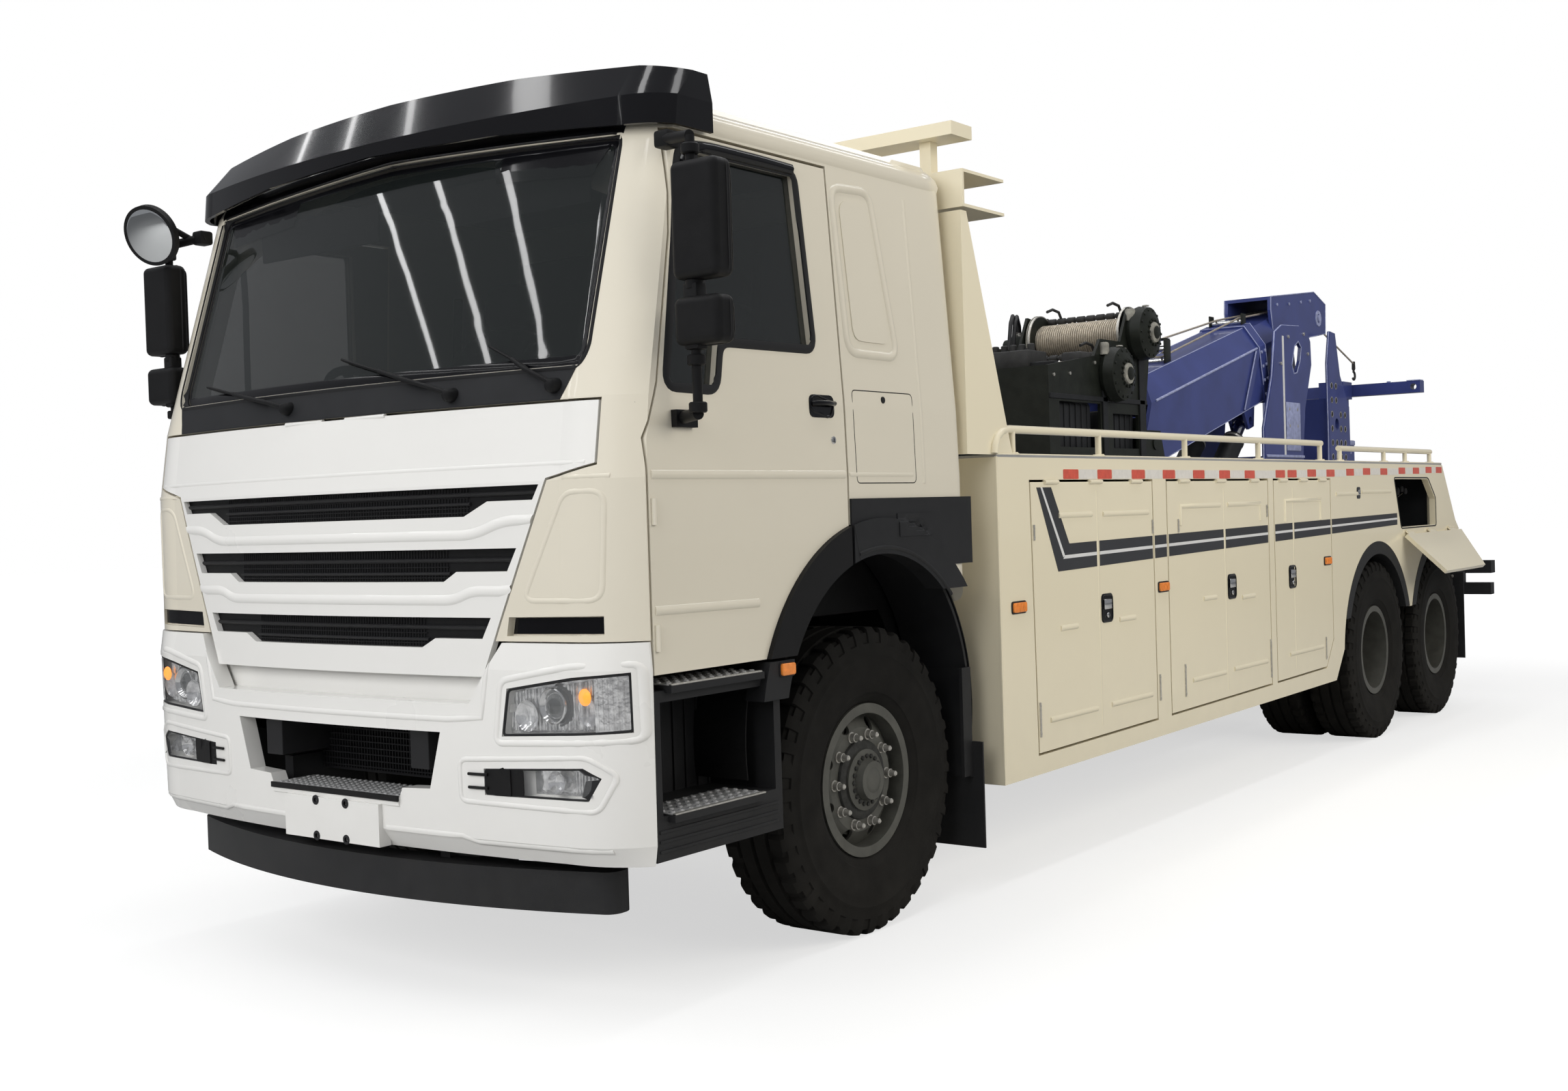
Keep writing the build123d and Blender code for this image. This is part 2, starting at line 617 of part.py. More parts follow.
def flare_ring(y_low, y_high, z_low):
    """Part of the black wheel-arch flare on the left side."""
    x_low, x_high = 1185.0, CAB_HALF + FLARE_PROUD
    ring = rod((x_low, ARCH_Y, ARCH_Z), (x_high, ARCH_Y, ARCH_Z), FLARE_OUTER)
    ring = ring - rod((x_low - 1, ARCH_Y, ARCH_Z), (x_high + 1, ARCH_Y, ARCH_Z), FLARE_INNER)
    return ring & block(x_low, x_high, y_low, y_high, z_low, 1600)


# Mirror housings: centre x, y, z and size x, y, z
MIRROR_HOUSINGS = [
    (1388.0, -1165.0, 2425.0, 178.0, 92.0, 352.0),
    (1388.0, -1165.0, 2125.0, 178.0, 88.0, 145.0),
]
MIRROR_STALK_X = 1352.0
MIRROR_Y = -1165.0
STALK_LOW = 1850.0
STALK_HIGH = 2680.0


def mirrors(side):
    """Two mirror housings on a stalk between brackets on the door."""
    parts = []
    for x, y, z, sx, sy, sz in MIRROR_HOUSINGS:
        shape = Pos(x, y, z) * fillet(Box(sx, sy, sz).edges(), 24)
        parts.append(shape)
    parts.append(rod((MIRROR_STALK_X, MIRROR_Y, STALK_LOW), (MIRROR_STALK_X, MIRROR_Y, STALK_HIGH), 15))
    parts.append(rod((MIRROR_STALK_X, MIRROR_Y, STALK_HIGH), (1183, -1105, 2702), 17))
    parts.append(rod((MIRROR_STALK_X, MIRROR_Y, STALK_LOW), (1238, -1120, 1842), 19))
    parts.append(block(1200, 1262, -1160, -1060, 1815, 1868))
    whole = fuse(*parts)
    if side < 0:
        arm = [(1260, -1120, 2698), (1300, -1230, 2760), (1300, -1290, 2740)]
        whole = fuse(whole, rod(arm[0], arm[1], 12), rod(arm[1], arm[2], 12), Pos(*arm[1]) * Sphere(12))
        plate = Plane(origin=(1300, -1280, 2700), z_dir=(0.25, 0.85, 0.35))
        whole = fuse(whole, extrude(plate * Circle(118), amount=26))
    return on_side(whole, side)


def door_fittings(side):
    """Mirrors and the flare end that ride on the door, as one black set."""
    ring = flare_ring(-800, DOOR_REAR - 5, DOOR_BOTTOM)
    form = cab_form(-SEAT_GAP, -SEAT_GAP, CAB_BOTTOM, 2800)
    mirror_set = mirrors(side) - form
    return Compound(children=[on_side(ring, side)] + list(mirror_set.solids()))


def cab_trim():
    """Black trim fixed to the cab: cowl under the screen, side band and rear flare ends."""
    cowl_form = cab_form(-2, -2, PANEL_TOP + PANEL_GAP, 2010) - cab_form(-SEAT_GAP, -SEAT_GAP, 1900, 2015)
    cowl = cowl_form & front_prism(symmetric([(1030, 2010), (985, PANEL_TOP + PANEL_GAP)]), 0, -1700, -1290)
    band_outline = [
        (DOOR_REAR + DOOR_GAP, 1587), (590, 1587), (590, 1330), (430, 1330), (200, 1500),
        (DOOR_REAR + DOOR_GAP, 1490),
    ]
    band = prism_x(band_outline, CAB_HALF + SEAT_GAP, CAB_HALF + 8) - arch_cut(FLARE_OUTER)
    flare = flare_ring(DOOR_REAR + DOOR_GAP, 800, 1240)
    side = fuse(band, flare)
    return Compound(children=[cowl] + list(both(side).solids()))


def windscreen():
    """The curved screen, seated in the cab's front opening."""
    pane = cab_form(18, 18, 1990, 2800) - cab_form(18, 18 + GLASS_WALL + 1, 1990, 2800)
    return pane & front_prism(symmetric(SCREEN_HALF), -SEAT_GAP, -1700, SCREEN_REAR)


# Levels of the sun visor: z, front y, arc x and y, half width, side y, rear y
VISOR_LEVELS = [
    (2715.0, -1262.0, 1060.0, -1165.0, 1214.0, -1070.0, -700.0),
    (2850.0, -1270.0, 1060.0, -1155.0, 1214.0, -1050.0, -700.0),
    (3015.0, -1150.0, 1040.0, -1020.0, 1184.0, -880.0, -700.0),
]
VISOR_WALL = 14.0


def visor():
    """The deep sun visor over the screen, on two stand-off feet."""
    def form(inset):
        return Solid.make_loft([plan_wire(level, inset, inset) for level in VISOR_LEVELS], ruled=True)
    shell = form(0) - form(VISOR_WALL)
    outline = [(-1300, 2754), (-1075, 2758), (-600, 2790), (0, 2806), (600, 2790), (1075, 2758),
        (1300, 2754),
               (1300, 2930), (1068, 2962), (600, 2992), (0, 3004), (-600, 2992), (-1068, 2962), (-1300,
               2930)]
    band = shell & prism_y(outline, -1400, -880)
    feet = []
    for x in (-900, 900):
        feet.append(block(x - 25, x + 25, -1190, -900, 2838, 2862))
    feet = [foot - cab_form(-SEAT_GAP, -SEAT_GAP, 2700, CAB_TOP) for foot in feet]
    hollow = form(VISOR_WALL - 2)
    return fuse(band, *[foot & hollow for foot in feet])


def front_panel():
    """The white panel below the screen, with its three slots cut through."""
    layer = cab_form(0, 0, CAB_BOTTOM, 1995) - cab_form(-50, PANEL_SKIN, CAB_BOTTOM, 1995)
    panel = layer & front_prism(symmetric(PANEL_HALF))
    for row in SLOTS:
        panel = panel - front_prism(slot_outline(row))
    hinges = []
    for x in (-260, 60):
        hinges.append(rod((x, FLAP_HINGE_Y, PANEL_TOP), (x + 200, FLAP_HINGE_Y, PANEL_TOP),
            PANEL_GAP - SEAT_GAP))
    return fuse(panel, *hinges)


def grille():
    """Black trays behind the slots, each with two slats."""
    layer = cab_form(0, PANEL_SKIN, PANEL_BOTTOM, 1995) - cab_form(-50, PANEL_DEPTH, CAB_BOTTOM, 1995)
    trays = []
    for row in SLOTS:
        trays.append(layer & front_prism(slot_outline(row, 14)))
    return Compound(children=[solid for tray in trays for solid in tray.solids()])


# Levels of the bumper
BUMPER_LEVELS = [
    (BUMPER_BOTTOM, -1462.0, 985.0, -1392.0, 1236.0, -1292.0, -900.0),
    (560.0, -1505.0, 1000.0, -1432.0, 1246.0, -1292.0, -900.0),
    (1090.0, -1516.0, 1000.0, -1440.0, 1250.0, -1300.0, -900.0),
    (BUMPER_TOP, -1502.0, 985.0, -1428.0, 1244.0, -1300.0, -900.0),
]
# Recess in the middle of the bumper's top, under the front panel: outline and depth
RECESS_HALF = [(784, BUMPER_TOP + 5), (652, 982)]
RECESS_BACK = 74.0
RECESS_TOP = 1110.0
TREAD_TOP = 668.0
RECESS_WALL = 30.0
# Outlines of (x, z) cut into the bumper's front, right-hand half
LAMP_OUTLINE = [(778, 885), (805, 1033), (1049, 1072), (1212, 1085), (1212, 905)]
FOG_OUTLINE = [(700, 700), (700, 782), (1075, 800), (1130, 770), (1090, 700)]
MOUTH_HALF = [(525, 888), (470, 705), (345, 700), (330, TREAD_TOP)]


def bumper_form(inset):
    """The bumper's outer form, set in from the front and sides."""
    return Solid.make_loft([plan_wire(level, inset, inset) for level in BUMPER_LEVELS], ruled=True)


def bumper():
    """Deep steel bumper with the step opening, lamp pockets and number-plate holes."""
    shell = bumper_form(0) - bumper_form(BUMPER_WALL)
    shell = shell & block(-1400, 1400, -1700, BUMPER_REAR, BUMPER_BOTTOM, BUMPER_TOP)
    shell = shell - front_prism(symmetric(RECESS_HALF)) - front_prism(symmetric(MOUTH_HALF))
    ledge_z = RECESS_HALF[1][1]
    back_wall = bumper_form(RECESS_BACK) - bumper_form(RECESS_BACK + RECESS_WALL)
    back_wall = back_wall & block(-785, 785, -1700, BUMPER_REAR - 20, ledge_z - 40, RECESS_TOP)
    ledge = (bumper_form(20) - bumper_form(RECESS_BACK + 10)) & block(-800, 800, -1700, -1300,
        ledge_z - 24, ledge_z)
    pocket_layer = bumper_form(-1) - bumper_form(BUMPER_WALL - 10)
    for outline in (LAMP_OUTLINE, FOG_OUTLINE):
        for side in (1, -1):
            points = [(side * x, z) for x, z in outline]
            shell = shell - (pocket_layer & front_prism(points))
    shell = fuse(shell, block(-245, 245, TRUCK_FRONT, -1470, 500, 640))
    for x in (-PLATE_HOLE_X / 2, PLATE_HOLE_X / 2):
        for z in (PLATE_Z - PLATE_HOLE_Z / 2, PLATE_Z + PLATE_HOLE_Z / 2):
            shell = shell - rod((x, -1700, z), (x, -1300, z), PLATE_HOLE_RADIUS)
    tread = block(-330, 330, -1505, -1330, TREAD_TOP - 28, TREAD_TOP)
    brackets = [block(side * 340, side * 420, BUMPER_REAR - 160, FRAME_FRONT, 760, 960) for side in (1, -1)]
    return fuse(shell, back_wall, ledge, tread, *brackets)


def lamps():
    """Clear lenses of the head and fog lamps, seated in their pockets."""
    layer = bumper_form(4) - bumper_form(18)
    lenses = []
    for outline in (LAMP_OUTLINE, FOG_OUTLINE):
        lens = layer & front_prism(outline, -SEAT_GAP)
        for side in (1, -1):
            lenses += list(on_side(lens, side).solids())
    return Compound(children=lenses)


def underrun_bar():
    """The black bar under the bumper, bowed in plan, with its two drop brackets."""
    outer = ThreePointArc((-1060, -1290, 330), (0, -1480, 330), (1060, -1290, 330))
    inner = ThreePointArc((1060, -1170, 330), (0, -1370, 330), (-1060, -1170, 330))
    ends = [Line((1060, -1290, 330), (1060, -1170, 330)), Line((-1060, -1170, 330), (-1060, -1290, 330))]
    bar = extrude(make_face(Wire([outer, ends[0], inner, ends[1]])), amount=130, dir=(0, 0, 1))
    bar = fillet(bar.edges().filter_by(Axis.Z), 50)
    hangers = [block(side * 380, side * 425, -1380, FRAME_FRONT + 60, 440, RAIL_BOTTOM) for side in (1, -1)]
    return fuse(bar, *hangers)


LINER_RADIUS = 700.0


def steps_and_guards():
    """Black step boxes below the doors, front wheel guards, and guards over the rear wheels."""
    solids = []
    step = block(900, 1236, -1284, -655, 505, 1020)
    step = step - block(960, 1300, -1250, -690, 640, 985)
    step = fuse(step,
        flare_ring(-800, -600, 935) & block(1185, 1262, -800, -600, 935, DOOR_BOTTOM - DOOR_GAP))
    treads = [block(950, 1262, -1225, -765, z - 22, z) for z in (642, 1034)]
    liner = rod((900, ARCH_Y, ARCH_Z), (1177, ARCH_Y, ARCH_Z), LINER_RADIUS + 15) - arch_cut(LINER_RADIUS)
    liner = liner - block(800, 1300, -900, -560, 0, 2000) - block(800, 1300, -900, 900, 0, 905)
    apron = block(900, 1190, 640, 655, 480, 915)
    lip = block(1176, 1190, 590, 650, 486, 915)
    flap = block(880, 1236, 655, 663, 200, 620)
    stay = block(RAIL_OUTER_X, 905, 655, 685, 840, 880)
    front = [fuse(step, *treads), fuse(liner, apron, lip, flap, stay)]
    step_stay = block(RAIL_OUTER_X, 905, -1180, -1120, 790, 850)
    front[0] = fuse(front[0], step_stay)
    arcs = []
    for y in (REAR_AXLE_Y, REAR_AXLE_Y + BOGIE_SPREAD):
        shell = rod((600, y, TYRE_RADIUS), (1205, y, TYRE_RADIUS), GUARD_RADIUS + 12)
        shell = shell - rod((599, y, TYRE_RADIUS), (1206, y, TYRE_RADIUS), GUARD_RADIUS)
        lip_ring = rod((1205, y, TYRE_RADIUS), (1250, y, TYRE_RADIUS), REAR_ARCH_RADIUS - SEAT_GAP)
        lip_ring = lip_ring - rod((1204, y, TYRE_RADIUS), (1251, y, TYRE_RADIUS), GUARD_RADIUS)
        arcs.append(fuse(shell, lip_ring) & block(590, 1260, y - 720, y + 720, TYRE_RADIUS + 240, 1400))
    rear = fuse(*arcs) & block(590, 1260, REAR_AXLE_Y - 720, REAR_AXLE_Y + BOGIE_SPREAD + 430, 700, 1400)
    for solid in front + list(rear.solids()):
        solids += [solid, mirror(solid, about=Plane.YZ)]
    return Compound(children=[s for item in solids for s in item.solids()])


def dashboard():
    """Dashboard across the cab with the steering wheel on the driver's side."""
    room = cab_form(CAB_WALL + 2, CAB_FRONT_WALL + 2, CAB_FLOOR, 2000)
    desk_points = [
        (-1330, 1300), (-1330, 1890), (-1180, 1905), (-960, 1840), (-900, 1700), (-960, 1620), (-1100, 1500),
        (-1150, 1300),
    ]
    desk = prism_x(desk_points, -1150, 1150) & room
    foot = block(-1100, 1100, -1300, -1180, CAB_FLOOR, 1320) & room
    column = rod((-560, -1000, 1780), (-560, -800, 1975), 38)
    plane = Plane(origin=(-560, -800, 1975), z_dir=(0, 200, 195))
    wheel = plane * Torus(225, 17)
    spokes = plane * fuse(Box(430, 34, 14), Box(34, 430, 14), Cylinder(62, 30))
    return fuse(desk, foot, column, wheel, spokes)


BUNK_Z = 1575.0


def seats():
    """Driver's and passenger's seats and the bunk behind them."""
    pieces = []
    for x in (-560, 560):
        base = block(x - 190, x + 190, -700, -280, CAB_FLOOR, 1560)
        cushion = block(x - 260, x + 260, -780, -250, 1560, 1700)
        back = prism_x([(-290, 1690), (-170, 1690), (-40, 2330), (-120, 2350), (-190, 2330)], x - 250,
            x + 250)
        head = block(x - 130, x + 130, -130, -30, 2340, 2540)
        pieces.append(fuse(base, cushion, back, head))
    pieces.append(block(-1170, 1170, 30, 508, BUNK_Z, BUNK_Z + 130))
    pieces.append(block(-820, 820, 60, 500, CAB_FLOOR, BUNK_Z))
    bunk = fuse(*pieces[2:])
    return Compound(children=pieces[:2] + [bunk])


# Body

# Locker doors on the left side: name, outline of (y, z)
LOCKER_DOORS = [
    ("locker_door_front", [(1102, 515), (2270, 524), (2270, 1640), (1082, 1640)]),
    ("locker_door_middle", [(2440, 526), (3756, 538), (3756, 1640), (2440, 1640)]),
    ("locker_door_rear", [(3850, 540), (4638, 548), (4767, 700), (4767, 1640), (3850, 1640)]),
]
LOCKER_SPACES = [(870.0, 2340.0), (2370.0, 3790.0), (3820.0, 4770.0)]
CONTROL_OPENING = [(6024, 1644), (6775, 1642), (6946, 1506), (6949, 1327), (6161, 1327)]
CONTROL_SPACE = (5990.0, 7000.0)


def body_side_points():
    """Side outline of the body, before the wheel arches are cut from it."""
    return [
        (BODY_FRONT, 425), (4805, 450), (4979, 641), (5000, 797), (REAR_AXLE_Y + BOGIE_SPREAD + 300, 797),
        (REAR_AXLE_Y + BOGIE_SPREAD + 300, 1268), (7543, 1280), (7449, 1348), (BODY_REAR, 1735),
        (BODY_REAR - 18, BODY_TOP - DECK_PLATE), (BODY_FRONT, BODY_TOP - DECK_PLATE),
    ]


def arch_cylinders(x0, x1, radius):
    """The rounds of both rear wheel arches."""
    first = rod((x0, REAR_AXLE_Y, TYRE_RADIUS), (x1, REAR_AXLE_Y, TYRE_RADIUS), radius)
    return fuse(first, Pos(0, BOGIE_SPREAD, 0) * first)


def body_side():
    """Left side box of the body: skin, lockers, control box and tail."""
    points = body_side_points()
    inner_x = BODY_HALF - SKIN
    skin = prism_x(points, inner_x, BODY_HALF)
    skin = skin - arch_cylinders(inner_x - 5, BODY_HALF + 5, REAR_ARCH_RADIUS)
    for _, outline in LOCKER_DOORS:
        skin = skin - prism_x(outline_grown(outline, DOOR_GAP), inner_x - 5, BODY_HALF + 5)
    skin = skin - prism_x(CONTROL_OPENING, inner_x - 5, BODY_HALF + 5)
    p = PANEL_PLATE
    roof = BODY_TOP - DECK_PLATE
    plates = [
        prism_x([(BODY_FRONT, 425), (4805, 450), (4805, 450 + p), (BODY_FRONT, 425 + p)], LOCKER_BACK_X,
            inner_x + 5),
        block(LOCKER_BACK_X, LOCKER_BACK_X + p, BODY_FRONT, 4805, 425, roof),
        block(LOCKER_BACK_X, LOCKER_BACK_X + p, 4700, BODY_REAR - 30, 1265, roof),
        block(LOCKER_BACK_X, inner_x + 5, BODY_FRONT, BODY_FRONT + p, 425, roof),
        block(LOCKER_BACK_X, inner_x + 5, 2349, 2349 + p, 432, roof),
        block(LOCKER_BACK_X, inner_x + 5, 3799, 3799 + p, 442, roof),
        block(LOCKER_BACK_X, inner_x + 5, 4793, 4805, 450, roof),
        block(LOCKER_BACK_X, inner_x + 5, 4793, 7470, 1262, 1262 + p),
        block(LOCKER_BACK_X, inner_x + 5, CONTROL_SPACE[0] - p, CONTROL_SPACE[0], 1265, roof),
        block(LOCKER_BACK_X, inner_x + 5, CONTROL_SPACE[1], CONTROL_SPACE[1] + p, 1265, roof),
        prism_x([(7543, 1280), (7449, 1348), (BODY_REAR, 1735),
            (BODY_REAR - 18, roof), (BODY_REAR - 38, roof),
                 (BODY_REAR - 14, 1735), (7432, 1348), (7500, 1270)], LOCKER_BACK_X, inner_x + 5),
    ]
    return fuse(skin, *plates)


def outline_grown(points, gap):
    """A (y, z) outline with every side moved out by a gap."""
    face = make_face(Polyline(*points, close=True))
    bigger = offset(face, gap, kind=Kind.INTERSECTION)
    wire = bigger.faces()[0].outer_wire()
    return [(v.X, v.Y) for v in wire_corners(wire)]


def wire_corners(wire):
    """The corners of a closed outline, in order."""
    return [edge.position_at(0) for edge in wire.order_edges()]


def body_deck():
    """Tread-plate deck over both side boxes, open over the boom's well, with its support beams."""
    plate = block(-BODY_HALF, BODY_HALF, BODY_FRONT, BODY_REAR - 20, BODY_TOP - DECK_PLATE, BODY_TOP)
    plate = plate - block(-WELL_HALF, WELL_HALF, WELL_FRONT, BODY_REAR + 10, BODY_TOP - 40, BODY_TOP + 10)
    beams = []
    sub_top = RAIL_TOP + SUBFRAME_HEIGHT
    for y in (1000, 2300, 3500):
        beams.append(block(-LOCKER_BACK_X, LOCKER_BACK_X, y - 40, y + 40, sub_top, BODY_TOP - DECK_PLATE))
    for side in (1, -1):
        outer = side * LOCKER_BACK_X
        for y in (4700, 5900, 6900):
            beams.append(block(side * (WELL_HALF + 15), outer,
                y - 30, y + 30, sub_top, BODY_TOP - DECK_PLATE))
            beams.append(block(side * (RAIL_OUTER_X - 66), outer, y - 30, y + 30, sub_top, sub_top + 80))
    return fuse(plate, *beams)


def locker_door(outline):
    """A locker door, flush in the side, with raised bands round its edge."""
    panel = prism_x(outline, BODY_HALF - SKIN, BODY_HALF)
    inner = outline_grown(outline, -70)
    panel = panel - prism_x(inner, BODY_HALF - SKIN - 1, BODY_HALF - SKIN + 14)
    front, rear = outline[-1][0], outline[-2][0]
    length = rear - front
    barrels = []
    for share in (0.15, 0.5, 0.85):
        y = front + length * share
        ends = [(LOCKER_HINGE_X, y + half, LOCKER_TOP) for half in (-60, 60)]
        barrels.append(rod(*ends, LOCKER_HINGE_RADIUS))
    return fuse(panel, *barrels)


def control_door():
    """The control-box door, hanging open below its hinge line."""
    outline = [
        (CONTROL_HINGE_FRONT, 30), (CONTROL_HINGE_REAR - 10, 30), (7060, CONTROL_HEIGHT), (6120,
        CONTROL_HEIGHT),
    ]
    flat = make_face(Polyline(*[(reach, y, 0) for y, reach in outline], close=True))
    solids = [extrude(flat, amount=CONTROL_THICK, dir=(0, 0, -1))]
    for y in (6300, 6800, 7300):
        solids.append(Pos(0, y, 0) * Rot(90, 0, 0) * Cylinder(HINGE_RADIUS, 140))
        solids.append(block(0, 60, y - 70, y + 70, -HINGE_RADIUS, -1))
    return Pos(CONTROL_HINGE_X, 0, CONTROL_HINGE_Z) * Rot(0, CONTROL_DROP, 0) * fuse(*solids)


# Handrails: height of the bar and y of each upright
RAILS = [(1857.0, (985.0, 1773.0, 2723.0, 3700.0, 4680.0)), (1832.0, (5032.0, 5891.0, 6350.0, 6920.0))]
RAIL_X = 1222.0
RAIL_BAR_RADIUS = 17.0
RAIL_POST_RADIUS = 14.0


def headboard_rails():
    """Headboard frame behind the cab and the handrails along the deck."""
    wing = prism_x([(596, BODY_TOP), (958, BODY_TOP), (942, 1790), (640, 2700), (596, 2700)], 1228, 1240)
    wall = block(-1240, 1240, 596, 608, BODY_TOP, 2700)
    wall = wall - block(-1100, 1100, 590, 620, 2120, 2600)
    post = block(1060, 1110, 600, 650, 2690, 2990)
    lower = block(-1250, 1250, 600, 925, 2713, 2860) - block(-1260, 1260, 612, 940, 2725, 2848)
    upper = block(-1240, 1240, 545, 700, 2985, 3037)
    board = fuse(wall, lower, upper, *[on_side(wing, s) for s in (1, -1)],
        *[on_side(post, s) for s in (1, -1)])
    rails = []
    for z, posts in RAILS:
        bar = rod((RAIL_X, posts[0] - 20, z), (RAIL_X, posts[-1] + 20, z), RAIL_BAR_RADIUS)
        uprights = [rod((RAIL_X, y, BODY_TOP), (RAIL_X, y, z), RAIL_POST_RADIUS) for y in posts]
        rail = fuse(bar, *uprights)
        rails.append([rail, mirror(rail, about=Plane.YZ)])
    return Compound(children=[board] + rails[0] + rails[1])


def winch_frame():
    """Pedestal of the two winches with the boom's pivot ears behind it."""
    side_points = [
        (3000, BODY_TOP), (4230, BODY_TOP), (4230, 2110), (4290, 2400), (4250, 2660), (4020, 2690),
        (3900, 2480),
        (3640, 2480), (3560, 2380), (3000, 2300),
    ]
    side = prism_x(side_points, 322, 340)
    side = side - prism_x([(3120, 1860), (3620, 1860), (3620, 2110), (3120, 2110)], 300, 350)
    side = side - prism_x([(3780, 1860), (4120, 1860), (4120, 2060), (3780, 2060)], 300, 350)
    front = block(-340, 340, 3000, 3018, BODY_TOP, 2300)
    shelf = block(-340, 340, 3000, 3420, 2270, 2288)
    floor = block(-340, 340, 3000, 4230, BODY_TOP, BODY_TOP + 18)
    rear = block(-340, 340, 4212, 4230, BODY_TOP, 2050)
    ear_points = [
        (BOOM_PIVOT_Y - 230, BODY_TOP), (BOOM_PIVOT_Y + 160, BODY_TOP), (BOOM_PIVOT_Y + 80,
        BOOM_PIVOT_Z + 80),
        (BOOM_PIVOT_Y - 80, BOOM_PIVOT_Z + 80),
    ]
    ear = prism_x(ear_points, BOOM_HALF + 12, BOOM_HALF + 42)
    foot = block(BOOM_HALF + 12, WELL_HALF + 60, BOOM_PIVOT_Y - 230, BOOM_PIVOT_Y + 160, BODY_TOP,
        BODY_TOP + 16)
    pin = rod((-BOOM_HALF - 50, BOOM_PIVOT_Y, BOOM_PIVOT_Z),
        (BOOM_HALF + 50, BOOM_PIVOT_Y, BOOM_PIVOT_Z), BOOM_PIN_RADIUS)
    link = block(BOOM_HALF + 12, 340, 4212, BOOM_PIVOT_Y - 200, BODY_TOP, BODY_TOP + 18)
    solids = [front, shelf, floor, rear, pin]
    for s in (1, -1):
        solids += [on_side(side, s), on_side(ear, s), on_side(foot, s), on_side(link, s)]
    for name, (y, z) in WINCHES.items():
        case_points = [(341, 0), (341, 150), (372, 160), (430, 150), (452, 90), (452, 0)]
        solids.append(lathe_x([(x - 4, r) for x, r in case_points], y, z))
        solids.append(rod((-345, y, z), (-318, y, z), WINCH_SHAFT_RADIUS + 40))
    frame = fuse(*solids)
    for y, z in WINCHES.values():
        frame = frame - rod((-350, y, z), (345, y, z), WINCH_SHAFT_RADIUS + SEAT_GAP)
    return frame


def winch_drum(y, z):
    """Winch drum with its flanges and shaft."""
    half = DRUM_HALF
    outline = [
        (-344, 0), (-344, WINCH_SHAFT_RADIUS), (-half, WINCH_SHAFT_RADIUS), (-half, WINCH_FLANGE_RADIUS),
        (-half + 14, WINCH_FLANGE_RADIUS), (-half + 14, WINCH_DRUM_RADIUS), (half - 14, WINCH_DRUM_RADIUS),
        (half - 14, WINCH_FLANGE_RADIUS), (half, WINCH_FLANGE_RADIUS), (half, WINCH_SHAFT_RADIUS),
        (344, WINCH_SHAFT_RADIUS), (344, 0),
    ]
    return lathe_x(outline, y, z)


# Boom. Its own frame: u runs along the boom from the pivot, n is square to it, upwards.
TUBE_LOW = -265.0
TUBE_HIGH = 265.0
SHOULDER_N = 112.0
RIDGE_HALF = 150.0
BOOM_REAR_U = 2080.0
BOOM_AXIS_N = 120.0


def boom_place():
    """Frame of the boom: local y along it, local z square to it, at the pivot."""
    return Pos(0, BOOM_PIVOT_Y, BOOM_PIVOT_Z) * Rot(BOOM_PITCH, 0, 0) * Pos(0, 0, BOOM_AXIS_N)


def boom_tube(inset, u0, u1):
    """A length of the boom's six-sided tube, set in from its outer size."""
    half = [
        (BOOM_HALF - inset, TUBE_LOW + inset), (BOOM_HALF - inset, SHOULDER_N - inset * 0.4),
        (RIDGE_HALF - inset * 0.6, TUBE_HIGH - inset),
    ]
    points = half + [(-x, z) for x, z in reversed(half)]
    return prism_y(points, u0, u1)


def boom():
    """Outer boom section with its pivot boss, ram ears and mouth collar."""
    tube = boom_tube(0, -60, BOOM_REAR_U) - boom_tube(BOOM_WALL, 60, BOOM_REAR_U + 10)
    cut = prism_x([(-80, -140), (-80, 300), (260, 300)], -300, 300)
    tube = tube - cut
    collar = boom_tube(-14, BOOM_REAR_U - 120, BOOM_REAR_U) - boom_tube(0, BOOM_REAR_U - 130,
        BOOM_REAR_U + 10)
    bore = rod((-260, 0, -BOOM_AXIS_N), (260, 0, -BOOM_AXIS_N), BOOM_PIN_RADIUS + SEAT_GAP)
    boss = rod((-BOOM_HALF - 10, 0, -BOOM_AXIS_N), (BOOM_HALF + 10, 0, -BOOM_AXIS_N), 80)
    ears = []
    eye = Vector(0, RAM_EYE_Y - BOOM_PIVOT_Y, RAM_EYE_Z - BOOM_PIVOT_Z).rotate(Axis.X, -BOOM_PITCH)
    eye = eye - Vector(0, 0, BOOM_AXIS_N)
    for x in (-RAM_X, RAM_X):
        for ear in (x - 66, x + 46):
            points = [
                (eye.Y - 110, TUBE_LOW + 5), (eye.Y - 50, eye.Z - 50), (eye.Y + 50, eye.Z - 50),
                (eye.Y + 110, TUBE_LOW + 5),
            ]
            plate = prism_x(points, ear, ear + 20) - rod((ear - 1, eye.Y, eye.Z),
                (ear + 21, eye.Y, eye.Z), 30)
            ears.append(plate)
    return boom_place() * (fuse(tube, collar, boss, *ears) - bore)


HEAD_POINTS = [
    (6785, 3012), (7700, 3124), (7957, 3049), (7945, 2818), (7746, 2789), (7600, 2770), (7100, 2640),
    (6832, 2700), (6778, 2913),
]


SHEAVE_Y = 7790.0
SHEAVE_Z = 2925.0


